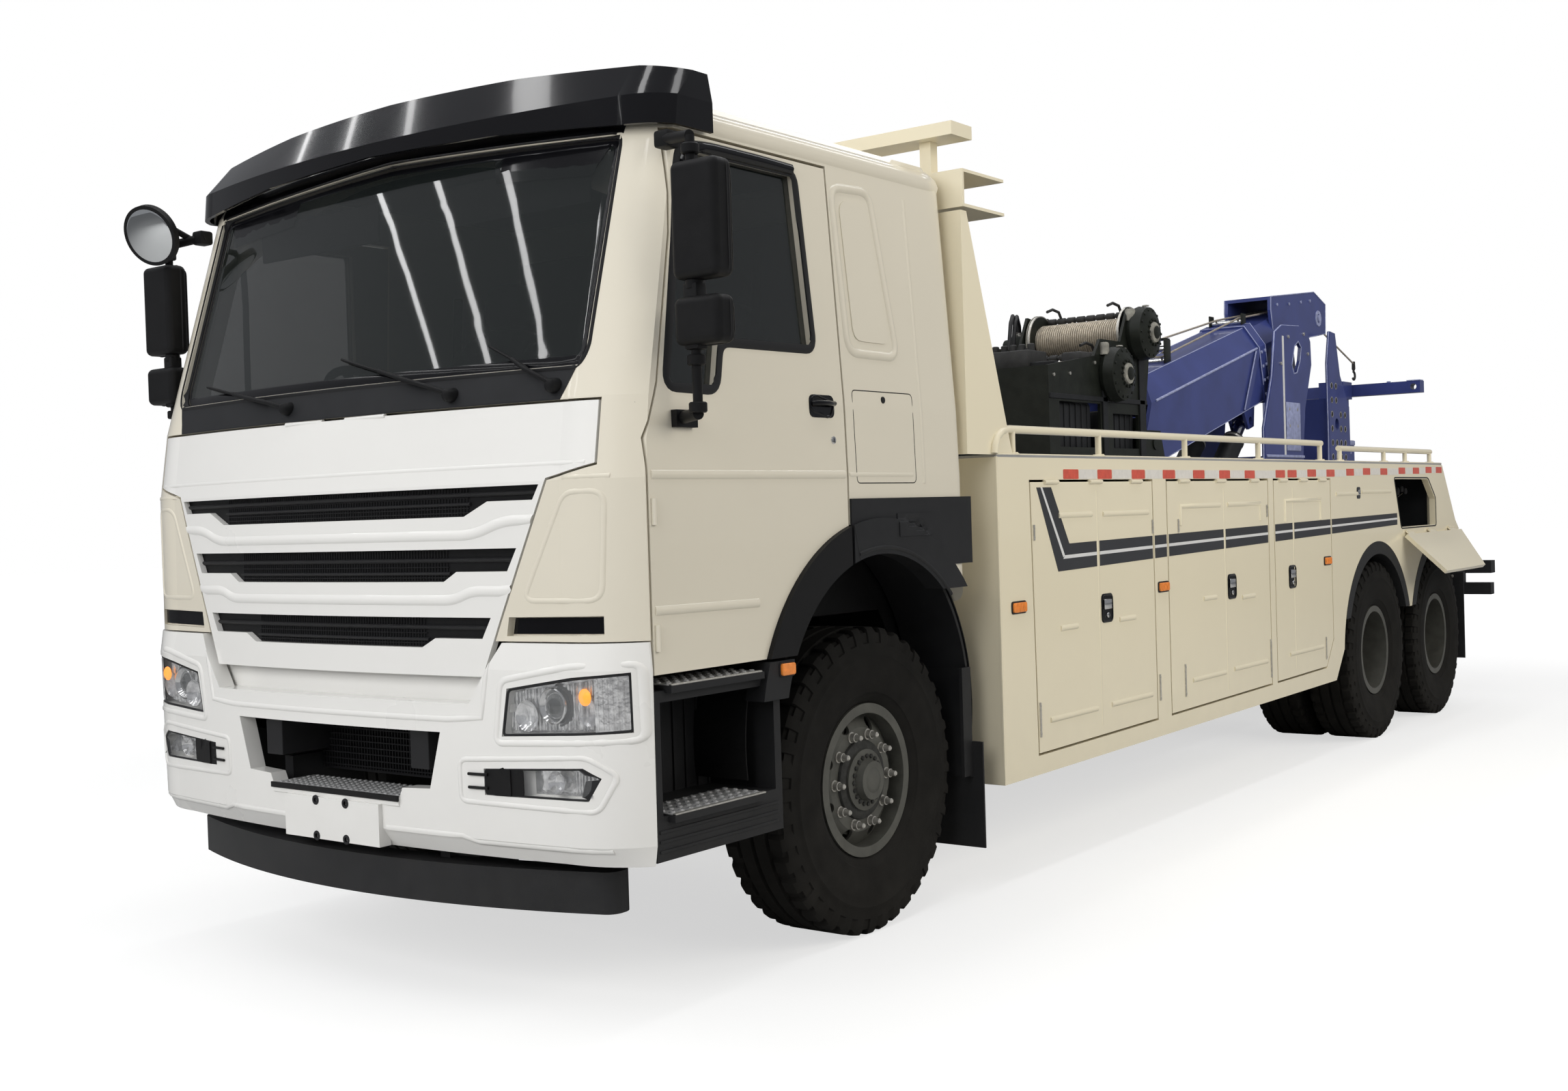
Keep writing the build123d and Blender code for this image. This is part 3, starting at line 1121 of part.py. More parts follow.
def boom_head():
    """Inner boom section with the sheave head at its tip."""
    gap = BOOM_WALL + SECTION_GAP
    tube = boom_tube(gap, 520, 2750) - boom_tube(gap + 20, 510, 2760)
    pads = []
    for u in (540, 1900):
        ring = boom_tube(gap - PAD, u, u + 120) - boom_tube(gap + 1, u - 1, u + 121)
        pads.append(ring)
    cheek = prism_x(HEAD_POINTS, 150, 174)
    top = prism_x([(6785, 3012), (7700, 3124), (7700, 3100), (6785, 2988)], -174, 174)
    nose = prism_x([(7700, 3124), (7957, 3049), (7957, 3025), (7700, 3100)], -174, 174)
    web = prism_x([(6900, 2830), (7500, 2860), (7500, 2900), (6900, 2870)], -160, 160)
    sheaves = []
    for x in (-80, 80):
        outline = [(-30, 0), (-30, 130), (-12, 105), (12, 105), (30, 130), (30, 0)]
        sheaves.append(lathe_x([(x + a, r) for a, r in outline], SHEAVE_Y, SHEAVE_Z))
    pin = rod((-174, SHEAVE_Y, SHEAVE_Z), (174, SHEAVE_Y, SHEAVE_Z), 30)
    head = fuse(on_side(cheek, 1), on_side(cheek, -1), top, nose, web, pin, *sheaves)
    return fuse(boom_place() * fuse(tube, *pads), head)


def ram_direction():
    """Vector from a ram's base to its rod eye."""
    return Vector(0, RAM_EYE_Y - RAM_BASE_Y, RAM_EYE_Z - RAM_BASE_Z)


def ram_barrels():
    """The two ram barrels with their base eyes."""
    axis = ram_direction()
    length = axis.length
    unit = axis.normalized()
    solids = []
    for x in (-RAM_X, RAM_X):
        base = Vector(x, RAM_BASE_Y, RAM_BASE_Z)
        start, end = base + unit * 95, base + unit * (length - 200)
        tube = fuse(rod(tuple(start), tuple(end), RAM_BARREL_RADIUS),
            rod(tuple(base), tuple(start + unit * 5), 38))
        tube = tube - rod(tuple(base + unit * 120), tuple(end + unit * 5), RAM_ROD_RADIUS + SEAT_GAP)
        eye = rod((x - 40, RAM_BASE_Y, RAM_BASE_Z), (x + 40, RAM_BASE_Y, RAM_BASE_Z), 60)
        hole = rod((x - 41, RAM_BASE_Y, RAM_BASE_Z), (x + 41, RAM_BASE_Y, RAM_BASE_Z), 28 + SEAT_GAP)
        solids.append(fuse(tube, eye) - hole)
    return Compound(children=solids)


def ram_rods():
    """The two ram rods with their open eyes."""
    axis = ram_direction()
    length = axis.length
    unit = axis.normalized()
    solids = []
    for x in (-RAM_X, RAM_X):
        base = Vector(x, RAM_BASE_Y, RAM_BASE_Z)
        shaft = rod(tuple(base + unit * 130), tuple(base + unit * (length - 30)), RAM_ROD_RADIUS)
        tip = tuple(base + unit * length)
        eye = rod((x - 38, tip[1], tip[2]), (x + 38, tip[1], tip[2]), 52)
        hole = rod((x - 39, tip[1], tip[2]), (x + 39, tip[1], tip[2]), 30)
        solids.append(fuse(shaft, eye) - hole)
    return Compound(children=solids)


TOWER_POINTS = [
    (6200, 1180), (6230, 2036), (6412, 2408), (6487, 2722), (6620, 2776), (6977, 2795), (7120, 2770),
    (7191, 2694),
    (7202, 2524), (7050, 2200), (6990, 1885), (6990, 1180),
]


def mast():
    """Tower plates each side of the boom, and the perforated plates at the frame's tail."""
    plate = prism_x(TOWER_POINTS, 292, 316)
    window = [(6830, 2440), (6790, 2500), (6850, 2640), (6930, 2680), (6990, 2640), (6960, 2540),
        (6890, 2450)]
    plate = plate - prism_x(window, 280, 330)
    tie = block(-300, 300, 6280, 6330, 1300, 1840)
    foot = block(-358, 358, 6200, 6990, 1160, 1190)
    tail_points = [
        (7700, 1160), (7735, 2003), (7729, 2571), (7794, 2819), (7911, 2810), (8007, 2487), (8210, 2246),
        (FRAME_REAR, 1160),
    ]
    tail = prism_x(tail_points, 240, 262)
    tail = tail - rod((230, 7908, 2105), (270, 7908, 2105), 45)
    bridge = block(-250, 250, 7760, 7785, 1170, 2300)
    base = block(-430, 430, 7700, 8230, 1160, 1185)
    lift_ear = prism_x([(8000, 740), (8480, 640), (8560, 700), (8560, 860), (8228, 1175), (8000, 1175)],
        150, 180)
    lift_base = block(-200, 200, 8000, 8230, 800, 860)
    pin = rod((-190, LIFT_PIVOT_Y, LIFT_PIVOT_Z), (190, LIFT_PIVOT_Y, LIFT_PIVOT_Z), 35)
    solids = [tie, foot, bridge, base, lift_base, pin]
    for s in (1, -1):
        solids += [on_side(plate, s), on_side(tail, s), on_side(lift_ear, s)]
    return fuse(*solids)


def lift_arm():
    """Folded under-lift arm, standing upright behind the tail."""
    boss = rod((-140, LIFT_PIVOT_Y, LIFT_PIVOT_Z), (140, LIFT_PIVOT_Y, LIFT_PIVOT_Z), 90)
    elbow_points = [(8400, 700), (8560, 660), (8780, 700), (8780, 1500), (8560, 1500), (8560, 900),
        (8400, 840)]
    elbow = prism_x(elbow_points, -110, 110)
    sleeve = block(-110, 110, 8560, 8780, 800, 2000) - block(-90, 90, 8580, 8760, 900, 2010)
    hole = rod((-145, LIFT_PIVOT_Y, LIFT_PIVOT_Z), (145, LIFT_PIVOT_Y, LIFT_PIVOT_Z), 35 + SEAT_GAP)
    return fuse(boss, elbow, sleeve) - block(-90, 90, 8580, 8760, 900, 2010) - hole


def lift_extension():
    """Inner length of the under-lift arm, with the crossbar's swivel post."""
    inner = block(-84, 84, 8586, 8754, 920, 2420)
    pads = block(-89.7, 89.7, 8580.3, 8759.7, 960, 1060)
    head = block(-100, 100, 8570, 8790, 2340, 2480)
    socket = rod((0, 8705, CROSSBAR_Z), (0, 8800, CROSSBAR_Z), SWIVEL_RADIUS + SEAT_GAP)
    return fuse(inner, pads, head) - socket


def lift_crossbar():
    """The wheel-lift crossbar with its fork sockets."""
    face = TRUCK_REAR - CROSSBAR_DEEP
    bar = block(-644, 644, face, TRUCK_REAR, CROSSBAR_Z - 48, CROSSBAR_Z + 47)
    for x in (-FORK_X, FORK_X):
        bar = bar - rod((x, face - 1, CROSSBAR_Z), (x, TRUCK_REAR + 1, CROSSBAR_Z), FORK_RADIUS)
    return fuse(bar, rod((0, 8710, CROSSBAR_Z), (0, TRUCK_REAR - 10, CROSSBAR_Z), SWIVEL_RADIUS))


def rear_bumper():
    """Rear beams each side of the under-lift, on arms from the frame, and the mud flaps."""
    high = block(210, 1243, 8440, 8560, 915, 1012)
    low = block(210, 1236, 8450, 8550, 750, 840)
    plates = [block(x, x + 16, 8440, 8560, 760, 1000) for x in (230, 620, 1010)]
    arm = block(352, 428, FRAME_REAR, 8445, 840, 1010)
    flap = block(620, 1240, 7660, 7668, 330, 960)
    stay = block(RAIL_OUTER_X, 1240, 7668, 7700, 900, 960)
    beam, hung = fuse(high, low, arm, *plates), fuse(flap, stay)
    return Compound(children=[on_side(solid, side) for side in (1, -1) for solid in (beam, hung)])


def nodes():
    """Every piece of the truck, by name, about the front axle."""
    parts = {
        "chassis_frame": chassis_frame(),
        "front_axle": front_axle(),
        "rear_axles": rear_axles(),
        "engine": engine(),
        "cab_shell": cab_shell(),
        "cab_trim": cab_trim(),
        "windscreen": windscreen(),
        "visor": visor(),
        "dashboard": dashboard(),
        "seats": seats(),
        "steps_and_guards": steps_and_guards(),
        "bumper": bumper(),
        "lamps": lamps(),
        "underrun_bar": underrun_bar(),
        "front_panel": front_panel(),
        "grille": grille(),
        "body_deck": body_deck(),
        "headboard_rails": headboard_rails(),
        "winch_frame": winch_frame(),
        "boom": boom(),
        "boom_head": boom_head(),
        "ram_barrels": ram_barrels(),
        "ram_rods": ram_rods(),
        "mast": mast(),
        "lift_arm": lift_arm(),
        "lift_extension": lift_extension(),
        "lift_crossbar": lift_crossbar(),
        "rear_bumper": rear_bumper(),
    }
    for name, (y, z) in WINCHES.items():
        parts[name] = winch_drum(y, z)
    side_box = body_side()
    left_knuckle = knuckle()
    flap = control_door()
    locker_shapes = [(name, locker_door(outline)) for name, outline in LOCKER_DOORS]
    for label, side in (("left", 1), ("right", -1)):
        parts["door_" + label] = door(side)
        parts["door_glass_" + label] = door_glass(side)
        parts["door_fittings_" + label] = door_fittings(side)
        parts["body_side_" + label] = on_side(side_box, side)
        parts["knuckle_" + label] = on_side(left_knuckle, side)
        parts["control_door_" + label] = on_side(flap, side)
        for name, shape in locker_shapes:
            parts[name + "_" + label] = on_side(shape, side)
    parts.update(wheel_nodes())
    return parts


def main():
    """Write one file per piece, centred along the truck's length."""
    os.makedirs("parts", exist_ok=True)
    for name, shape in nodes().items():
        export_step(Pos(0, -CENTRE_Y, 0) * shape, "parts/" + name + ".step")


main()
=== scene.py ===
import math
import random

import bmesh
import bpy
from mathutils import Matrix, Vector
from mathutils.bvhtree import BVHTree


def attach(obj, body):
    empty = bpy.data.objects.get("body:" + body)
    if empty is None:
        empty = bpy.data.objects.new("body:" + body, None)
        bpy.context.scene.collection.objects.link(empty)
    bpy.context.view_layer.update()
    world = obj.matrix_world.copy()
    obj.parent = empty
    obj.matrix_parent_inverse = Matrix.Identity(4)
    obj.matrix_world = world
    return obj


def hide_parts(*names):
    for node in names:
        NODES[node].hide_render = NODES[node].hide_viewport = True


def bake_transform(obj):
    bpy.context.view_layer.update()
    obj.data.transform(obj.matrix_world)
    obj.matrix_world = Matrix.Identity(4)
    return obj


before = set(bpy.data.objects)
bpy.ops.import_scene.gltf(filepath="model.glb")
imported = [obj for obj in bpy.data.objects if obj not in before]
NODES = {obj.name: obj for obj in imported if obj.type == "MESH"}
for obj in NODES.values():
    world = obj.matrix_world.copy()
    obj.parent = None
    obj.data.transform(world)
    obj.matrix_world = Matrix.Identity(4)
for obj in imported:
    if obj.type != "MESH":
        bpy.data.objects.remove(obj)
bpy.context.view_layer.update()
random.seed(7)

# Places below are in millimetres from the front axle, as in the part's source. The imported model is
# in metres, with its origin at the middle of the truck's length.
CENTRE = 3696.0
SIDES = (("left", 1), ("right", -1))
BODY_SIDE_X = 1248.0
ARCH_Y, ARCH_Z = -47, 776


def at(x, y, z):
    """A point given in millimetres from the front axle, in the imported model's metres."""
    return Vector((x / 1000, (y - CENTRE) / 1000, z / 1000))


# Materials

DUST = (0.30, 0.27, 0.23, 1)


def link(tree, a, b):
    tree.links.new(a, b)


def node(tree, kind, **values):
    """A new shader node with some of its inputs set; an underscore stands for a space in a name."""
    made = tree.nodes.new("ShaderNode" + kind)
    for key, value in values.items():
        made.inputs[key.replace("_", " ")].default_value = value
    return made


def math_node(tree, operation, first, second):
    """The value of a math node that is fed by two sockets."""
    made = tree.nodes.new("ShaderNodeMath")
    made.operation = operation
    link(tree, first, made.inputs[0])
    link(tree, second, made.inputs[1])
    return made.outputs["Value"]


def raise_surface(tree, height, strength, distance):
    """Bumps the material's surface by a height socket."""
    made = node(tree, "Bump", Strength=strength, Distance=distance)
    link(tree, height, made.inputs["Height"])
    link(tree, made.outputs["Normal"], tree.nodes["Principled BSDF"].inputs["Normal"])


def material(name, colour, rough=0.5, metal=0.0, coat=0.0, coat_rough=0.05, vary=0.05, scale=6.0,
             bump=0.0, bump_scale=200.0, dust=0.0, dust_top=1.2, alpha=1.0, rough_vary=0.1, emit=0.0, spec=0.5):
    """A painted, moulded or cast finish: colour patches, grain in its bump, and dust towards the ground."""
    mat = bpy.data.materials.new(name)
    mat.use_nodes = True
    tree = mat.node_tree
    shader = tree.nodes["Principled BSDF"]
    shader.inputs["Metallic"].default_value = metal
    shader.inputs["Coat Weight"].default_value = coat
    shader.inputs["Coat Roughness"].default_value = coat_rough
    shader.inputs["Specular IOR Level"].default_value = spec
    shader.inputs["Alpha"].default_value = alpha
    place = node(tree, "TexCoord").outputs["Object"]
    noise = node(tree, "TexNoise", Scale=scale, Detail=5)
    link(tree, place, noise.inputs["Vector"])
    ramp = node(tree, "ValToRGB")
    for stop, position, factor in zip(ramp.color_ramp.elements, (0.3, 0.7), (1 - vary, 1 + vary)):
        stop.position = position
        stop.color = (*(min(1, c * factor) for c in colour), 1)
    link(tree, noise.outputs["Fac"], ramp.inputs["Fac"])
    colour_out = ramp.outputs["Color"]
    if dust:
        split = node(tree, "SeparateXYZ")
        link(tree, place, split.inputs["Vector"])
        fade = node(tree, "MapRange", From_Min=dust_top, From_Max=0.2, To_Min=0.0, To_Max=dust)
        link(tree, split.outputs["Z"], fade.inputs["Value"])
        specks = node(tree, "TexNoise", Scale=9.0, Detail=8)
        link(tree, place, specks.inputs["Vector"])
        amount = math_node(tree, "MULTIPLY", fade.outputs["Result"], specks.outputs["Fac"])
        mix = tree.nodes.new("ShaderNodeMix")
        mix.data_type = "RGBA"
        mix.inputs["B"].default_value = DUST
        link(tree, amount, mix.inputs["Factor"])
        link(tree, colour_out, mix.inputs["A"])
        colour_out = mix.outputs["Result"]
    link(tree, colour_out, shader.inputs["Base Color"])
    roughness = node(tree, "MapRange", To_Min=max(0.02, rough * (1 - rough_vary)),
                     To_Max=min(1, rough * (1 + rough_vary)))
    link(tree, noise.outputs["Fac"], roughness.inputs["Value"])
    link(tree, roughness.outputs["Result"], shader.inputs["Roughness"])
    if bump:
        grain = node(tree, "TexNoise", Scale=bump_scale, Detail=3)
        link(tree, place, grain.inputs["Vector"])
        raise_surface(tree, grain.outputs["Fac"], bump, 0.002)
    if emit:
        shader.inputs["Emission Color"].default_value = (*colour, 1)
        shader.inputs["Emission Strength"].default_value = emit
    return mat


def tread_plate(name, colour):
    """Bright plate with raised bars in two crossing directions."""
    mat = material(name, colour, rough=0.4, metal=0.4, vary=0.08, scale=3.0)
    tree = mat.node_tree
    place = node(tree, "TexCoord")
    distances = []
    for turn in (45, -45):
        mapping = node(tree, "Mapping", Rotation=(0, 0, math.radians(turn)), Scale=(28, 60, 60))
        link(tree, place.outputs["Object"], mapping.inputs["Vector"])
        cells = node(tree, "TexVoronoi", Randomness=0.0, Scale=1.0)
        link(tree, mapping.outputs["Vector"], cells.inputs["Vector"])
        distances.append(cells.outputs["Distance"])
    step = node(tree, "MapRange", From_Min=0.35, From_Max=0.2)
    link(tree, math_node(tree, "MINIMUM", *distances), step.inputs["Value"])
    raise_surface(tree, step.outputs["Result"], 0.9, 0.002)
    return mat


def wound_rope(name, colour):
    """Steel rope: fine slanting ridges of its strands."""
    mat = material(name, colour, rough=0.42, metal=0.55, vary=0.2, scale=40.0)
    tree = mat.node_tree
    mapping = node(tree, "Mapping", Rotation=(0, math.radians(25), math.radians(25)))
    link(tree, node(tree, "TexCoord").outputs["Object"], mapping.inputs["Vector"])
    wave = node(tree, "TexWave", Scale=90.0)
    link(tree, mapping.outputs["Vector"], wave.inputs["Vector"])
    raise_surface(tree, wave.outputs["Fac"], 0.5, 0.001)
    return mat


def woven(name, colour):
    """Seat cloth with a fine weave."""
    mat = material(name, colour, rough=0.9, vary=0.18, scale=12.0)
    tree = mat.node_tree
    tree.nodes["Principled BSDF"].inputs["Sheen Weight"].default_value = 0.3
    place = node(tree, "TexCoord")
    threads = []
    for direction in ("X", "Z"):
        wave = node(tree, "TexWave", Scale=220.0)
        wave.bands_direction = direction
        link(tree, place.outputs["Object"], wave.inputs["Vector"])
        threads.append(wave.outputs["Fac"])
    raise_surface(tree, math_node(tree, "MULTIPLY", *threads), 0.6, 0.001)
    return mat


WHITE = material("white_paint", (0.80, 0.79, 0.76), rough=0.28, coat=0.8, vary=0.012, scale=1.5,
                 bump=0.04, bump_scale=60, dust=0.16, dust_top=0.9)
CREAM = material("cream_paint", (0.84, 0.765, 0.575), rough=0.30, coat=0.7, vary=0.015, scale=1.2,
                 bump=0.05, bump_scale=50, dust=0.2, dust_top=1.0)
# The cab's paint: a warm beige tone, set darker than the front panel's white; the darkening is painted shade for
# the cab's sides and doors
CAB_SHADED_PAINT = material("cab_beige_with_painted_shade", (0.71, 0.662, 0.55), rough=0.30, coat=0.7, vary=0.015, scale=1.2,
                     bump=0.05, bump_scale=50, dust=0.18, dust_top=0.9)
BLUE = material("blue_paint", (0.040, 0.055, 0.20), rough=0.36, coat=0.25, spec=0.35, vary=0.12, scale=5,
                bump=0.08, bump_scale=80)
# Lighter blue for edge lines, bolts and plates on the boom, tower and lift: painted highlight along the creases
# and edges of the blue paint
BLUE_HIGHLIGHT = material("blue_paint_painted_highlight", (0.30, 0.33, 0.52), rough=0.5, vary=0.2, scale=30)
GLOSS_BLACK = material("black_gloss", (0.004, 0.004, 0.005), rough=0.12, coat=0.4, spec=0.15, vary=0.1, scale=4,
                       bump=0.02, bump_scale=30)
PLASTIC = material("black_plastic", (0.007, 0.007, 0.0075), rough=0.5, spec=0.25, vary=0.15, scale=18, bump=0.35,
                   bump_scale=900, dust=0.05, dust_top=0.9)
GREY_PLASTIC = material("grey_plastic", (0.016, 0.0165, 0.018), rough=0.5, spec=0.3, vary=0.12, scale=14,
                        bump=0.3, bump_scale=800, dust=0.05, dust_top=1.2)
RUBBER = material("tyre_rubber", (0.010, 0.0097, 0.009), rough=0.8, vary=0.25, scale=10, bump=0.3,
                  bump_scale=250, dust=0.045, dust_top=1.2, spec=0.15)
SEAL = material("rubber_seal", (0.012, 0.012, 0.013), rough=0.6, vary=0.1, scale=30, bump=0.2, bump_scale=500)
RIM = material("rim_paint", (0.10, 0.10, 0.088), rough=0.42, metal=0.35, vary=0.16, scale=16, bump=0.15,
               bump_scale=150, dust=0.06, dust_top=1.1)
NUT = material("bright_nut", (0.62, 0.60, 0.55), rough=0.35, metal=0.75, vary=0.15, scale=60, bump=0.1,
               bump_scale=300)
HUB = material("hub_casting", (0.045, 0.045, 0.042), rough=0.6, metal=0.4, vary=0.3, scale=40, bump=0.5,
               bump_scale=160)
FRAME = material("frame_paint", (0.018, 0.019, 0.021), rough=0.5, vary=0.2, scale=8, bump=0.2, bump_scale=120,
                 dust=0.06, dust_top=1.1, spec=0.25)
CASTING = material("cast_metal", (0.055, 0.055, 0.055), rough=0.62, metal=0.5, vary=0.25, scale=14, bump=0.5,
                   bump_scale=180)
WINCH = material("winch_paint", (0.012, 0.014, 0.011), rough=0.45, spec=0.3, vary=0.3, scale=12, bump=0.25,
                 bump_scale=90)
CHROME = material("bright_steel", (0.75, 0.75, 0.75), rough=0.16, metal=1.0, vary=0.05, scale=30)
REFLECTOR = material("lamp_reflector", (0.78, 0.78, 0.79), rough=0.14, metal=0.85, vary=0.35, scale=38,
                     bump=0.6, bump_scale=46)
AMBER = material("amber_lens", (0.85, 0.26, 0.04), rough=0.25, coat=0.6, vary=0.15, scale=60, bump=0.3,
                 bump_scale=220)
RED = material("red_reflective", (0.62, 0.085, 0.05), rough=0.35, coat=0.3, vary=0.12, scale=50, bump=0.15,
               bump_scale=400)
PALE = material("white_reflective", (0.74, 0.71, 0.66), rough=0.35, coat=0.3, vary=0.05, scale=50, bump=0.15,
                bump_scale=400)
STRIPE = material("dark_stripe", (0.030, 0.031, 0.036), rough=0.45, coat=0.0, vary=0.1, scale=10, bump=0.05,
                  bump_scale=100)
PIN_STRIPE = material("pale_stripe", (0.72, 0.72, 0.72), rough=0.35, coat=0.3, vary=0.03, scale=10)
SEAM = material("seam_shadow", (0.022, 0.021, 0.019), rough=0.8, vary=0.2, scale=40)
TRIM = material("cab_lining", (0.10, 0.10, 0.105), rough=0.8, vary=0.1, scale=12, bump=0.3, bump_scale=500)
GLASS = material("tinted_glass", (0.010, 0.013, 0.0125), rough=0.03, coat=1.0, coat_rough=0.01, vary=0.0,
                 scale=2, alpha=0.60, rough_vary=0.0)
LENS = material("clear_lens", (0.9, 0.92, 0.93), rough=0.04, coat=1.0, coat_rough=0.02, vary=0.0, scale=2,
                alpha=0.07, rough_vary=0.0)
WORN = material("worn_metal", (0.32, 0.31, 0.27), rough=0.5, metal=0.4, vary=0.45, scale=18, bump=0.3,
                bump_scale=90)
MIRROR = material("mirror_glass", (0.8, 0.82, 0.83), rough=0.03, metal=1.0, vary=0.01, scale=4)
PLATE = tread_plate("tread_plate", (0.42, 0.42, 0.42))
ROPE = wound_rope("steel_rope", (0.52, 0.46, 0.37))
CLOTH = woven("seat_cloth", (0.035, 0.035, 0.038))
AMBER_GLOW = material("amber_bulb", (0.9, 0.30, 0.04), rough=0.2, vary=0.1, scale=60, emit=0.8)
RED_PLASTIC = material("red_plastic", (0.5, 0.03, 0.03), rough=0.4, vary=0.08, scale=30)
PALE_DIAL = material("dial_face", (0.35, 0.36, 0.36), rough=0.3, vary=0.3, scale=120)
RED_LENS = material("red_lens", (0.42, 0.015, 0.012), rough=0.2, coat=0.6, vary=0.15, scale=60, bump=0.3,
                    bump_scale=220)

LOCKER_DOORS = " ".join(f"locker_door_{spot}_{label}"
                        for label, _ in SIDES for spot in ("front", "middle", "rear"))
WHEEL_SPOTS = [f"{spot}_{label}" for spot in ("front", "mid", "rear") for label, _ in SIDES]
NODE_MATERIALS = {
    WHITE: "front_panel bumper",
    CAB_SHADED_PAINT: "cab_shell door_left door_right",
    CREAM: "body_side_left body_side_right control_door_left control_door_right headboard_rails " + LOCKER_DOORS,
    GLOSS_BLACK: "visor",
    BLUE: "boom boom_head mast lift_arm lift_extension lift_crossbar",
    GREY_PLASTIC: "cab_trim steps_and_guards underrun_bar",
    PLASTIC: "grille dashboard door_fittings_left door_fittings_right",
    FRAME: "chassis_frame rear_bumper ram_barrels",
    CASTING: "front_axle rear_axles engine knuckle_left knuckle_right",
    WINCH: "winch_frame winch_drum_lower winch_drum_upper",
    GLASS: "windscreen door_glass_left door_glass_right",
    LENS: "lamps",
    PLATE: "body_deck",
    CHROME: "ram_rods",
    CLOTH: "seats",
    RIM: " ".join(f"rim_{spot}" for spot in WHEEL_SPOTS),
    RUBBER: " ".join(f"tyre_{spot}" for spot in WHEEL_SPOTS),
}
for mat, names in NODE_MATERIALS.items():
    for name in names.split():
        for item in NODES[name].material_slots:
            item.material = mat

# Width in millimetres of the softened edges of pressed and moulded solids
SOFT_EDGES = {
    12: "underrun_bar",
    9: "bumper",
    7: "front_panel",
    6: "cab_shell lift_arm lift_crossbar",
    5: "lift_extension visor",
    4: "door_left door_right body_side_left body_side_right boom boom_head rear_bumper steps_and_guards",
    3: "headboard_rails winch_frame mast cab_trim control_door_left control_door_right",
    2: LOCKER_DOORS,
}


def soften(obj, width, segments, degrees):
    """Rounds the edges that are sharper than an angle; the width is in millimetres."""
    mod = obj.modifiers.new("soft edges", "BEVEL")
    mod.width = width / 1000
    mod.segments = segments
    mod.limit_method = "ANGLE"
    mod.angle_limit = math.radians(degrees)
    return mod


for width, names in SOFT_EDGES.items():
    for name in names.split():
        soften(NODES[name], width, 3, 38).harden_normals = True


# Building pieces

# Slots of the pieces whose colour may be changed
SLOT_OF = {WHITE: "white_paint", CAB_SHADED_PAINT: "white_paint", CREAM: "white_paint", BLUE: "blue_paint",
           BLUE_HIGHLIGHT: "blue_paint", CLOTH: "seat_cloth", RUBBER: "tyre_rubber"}


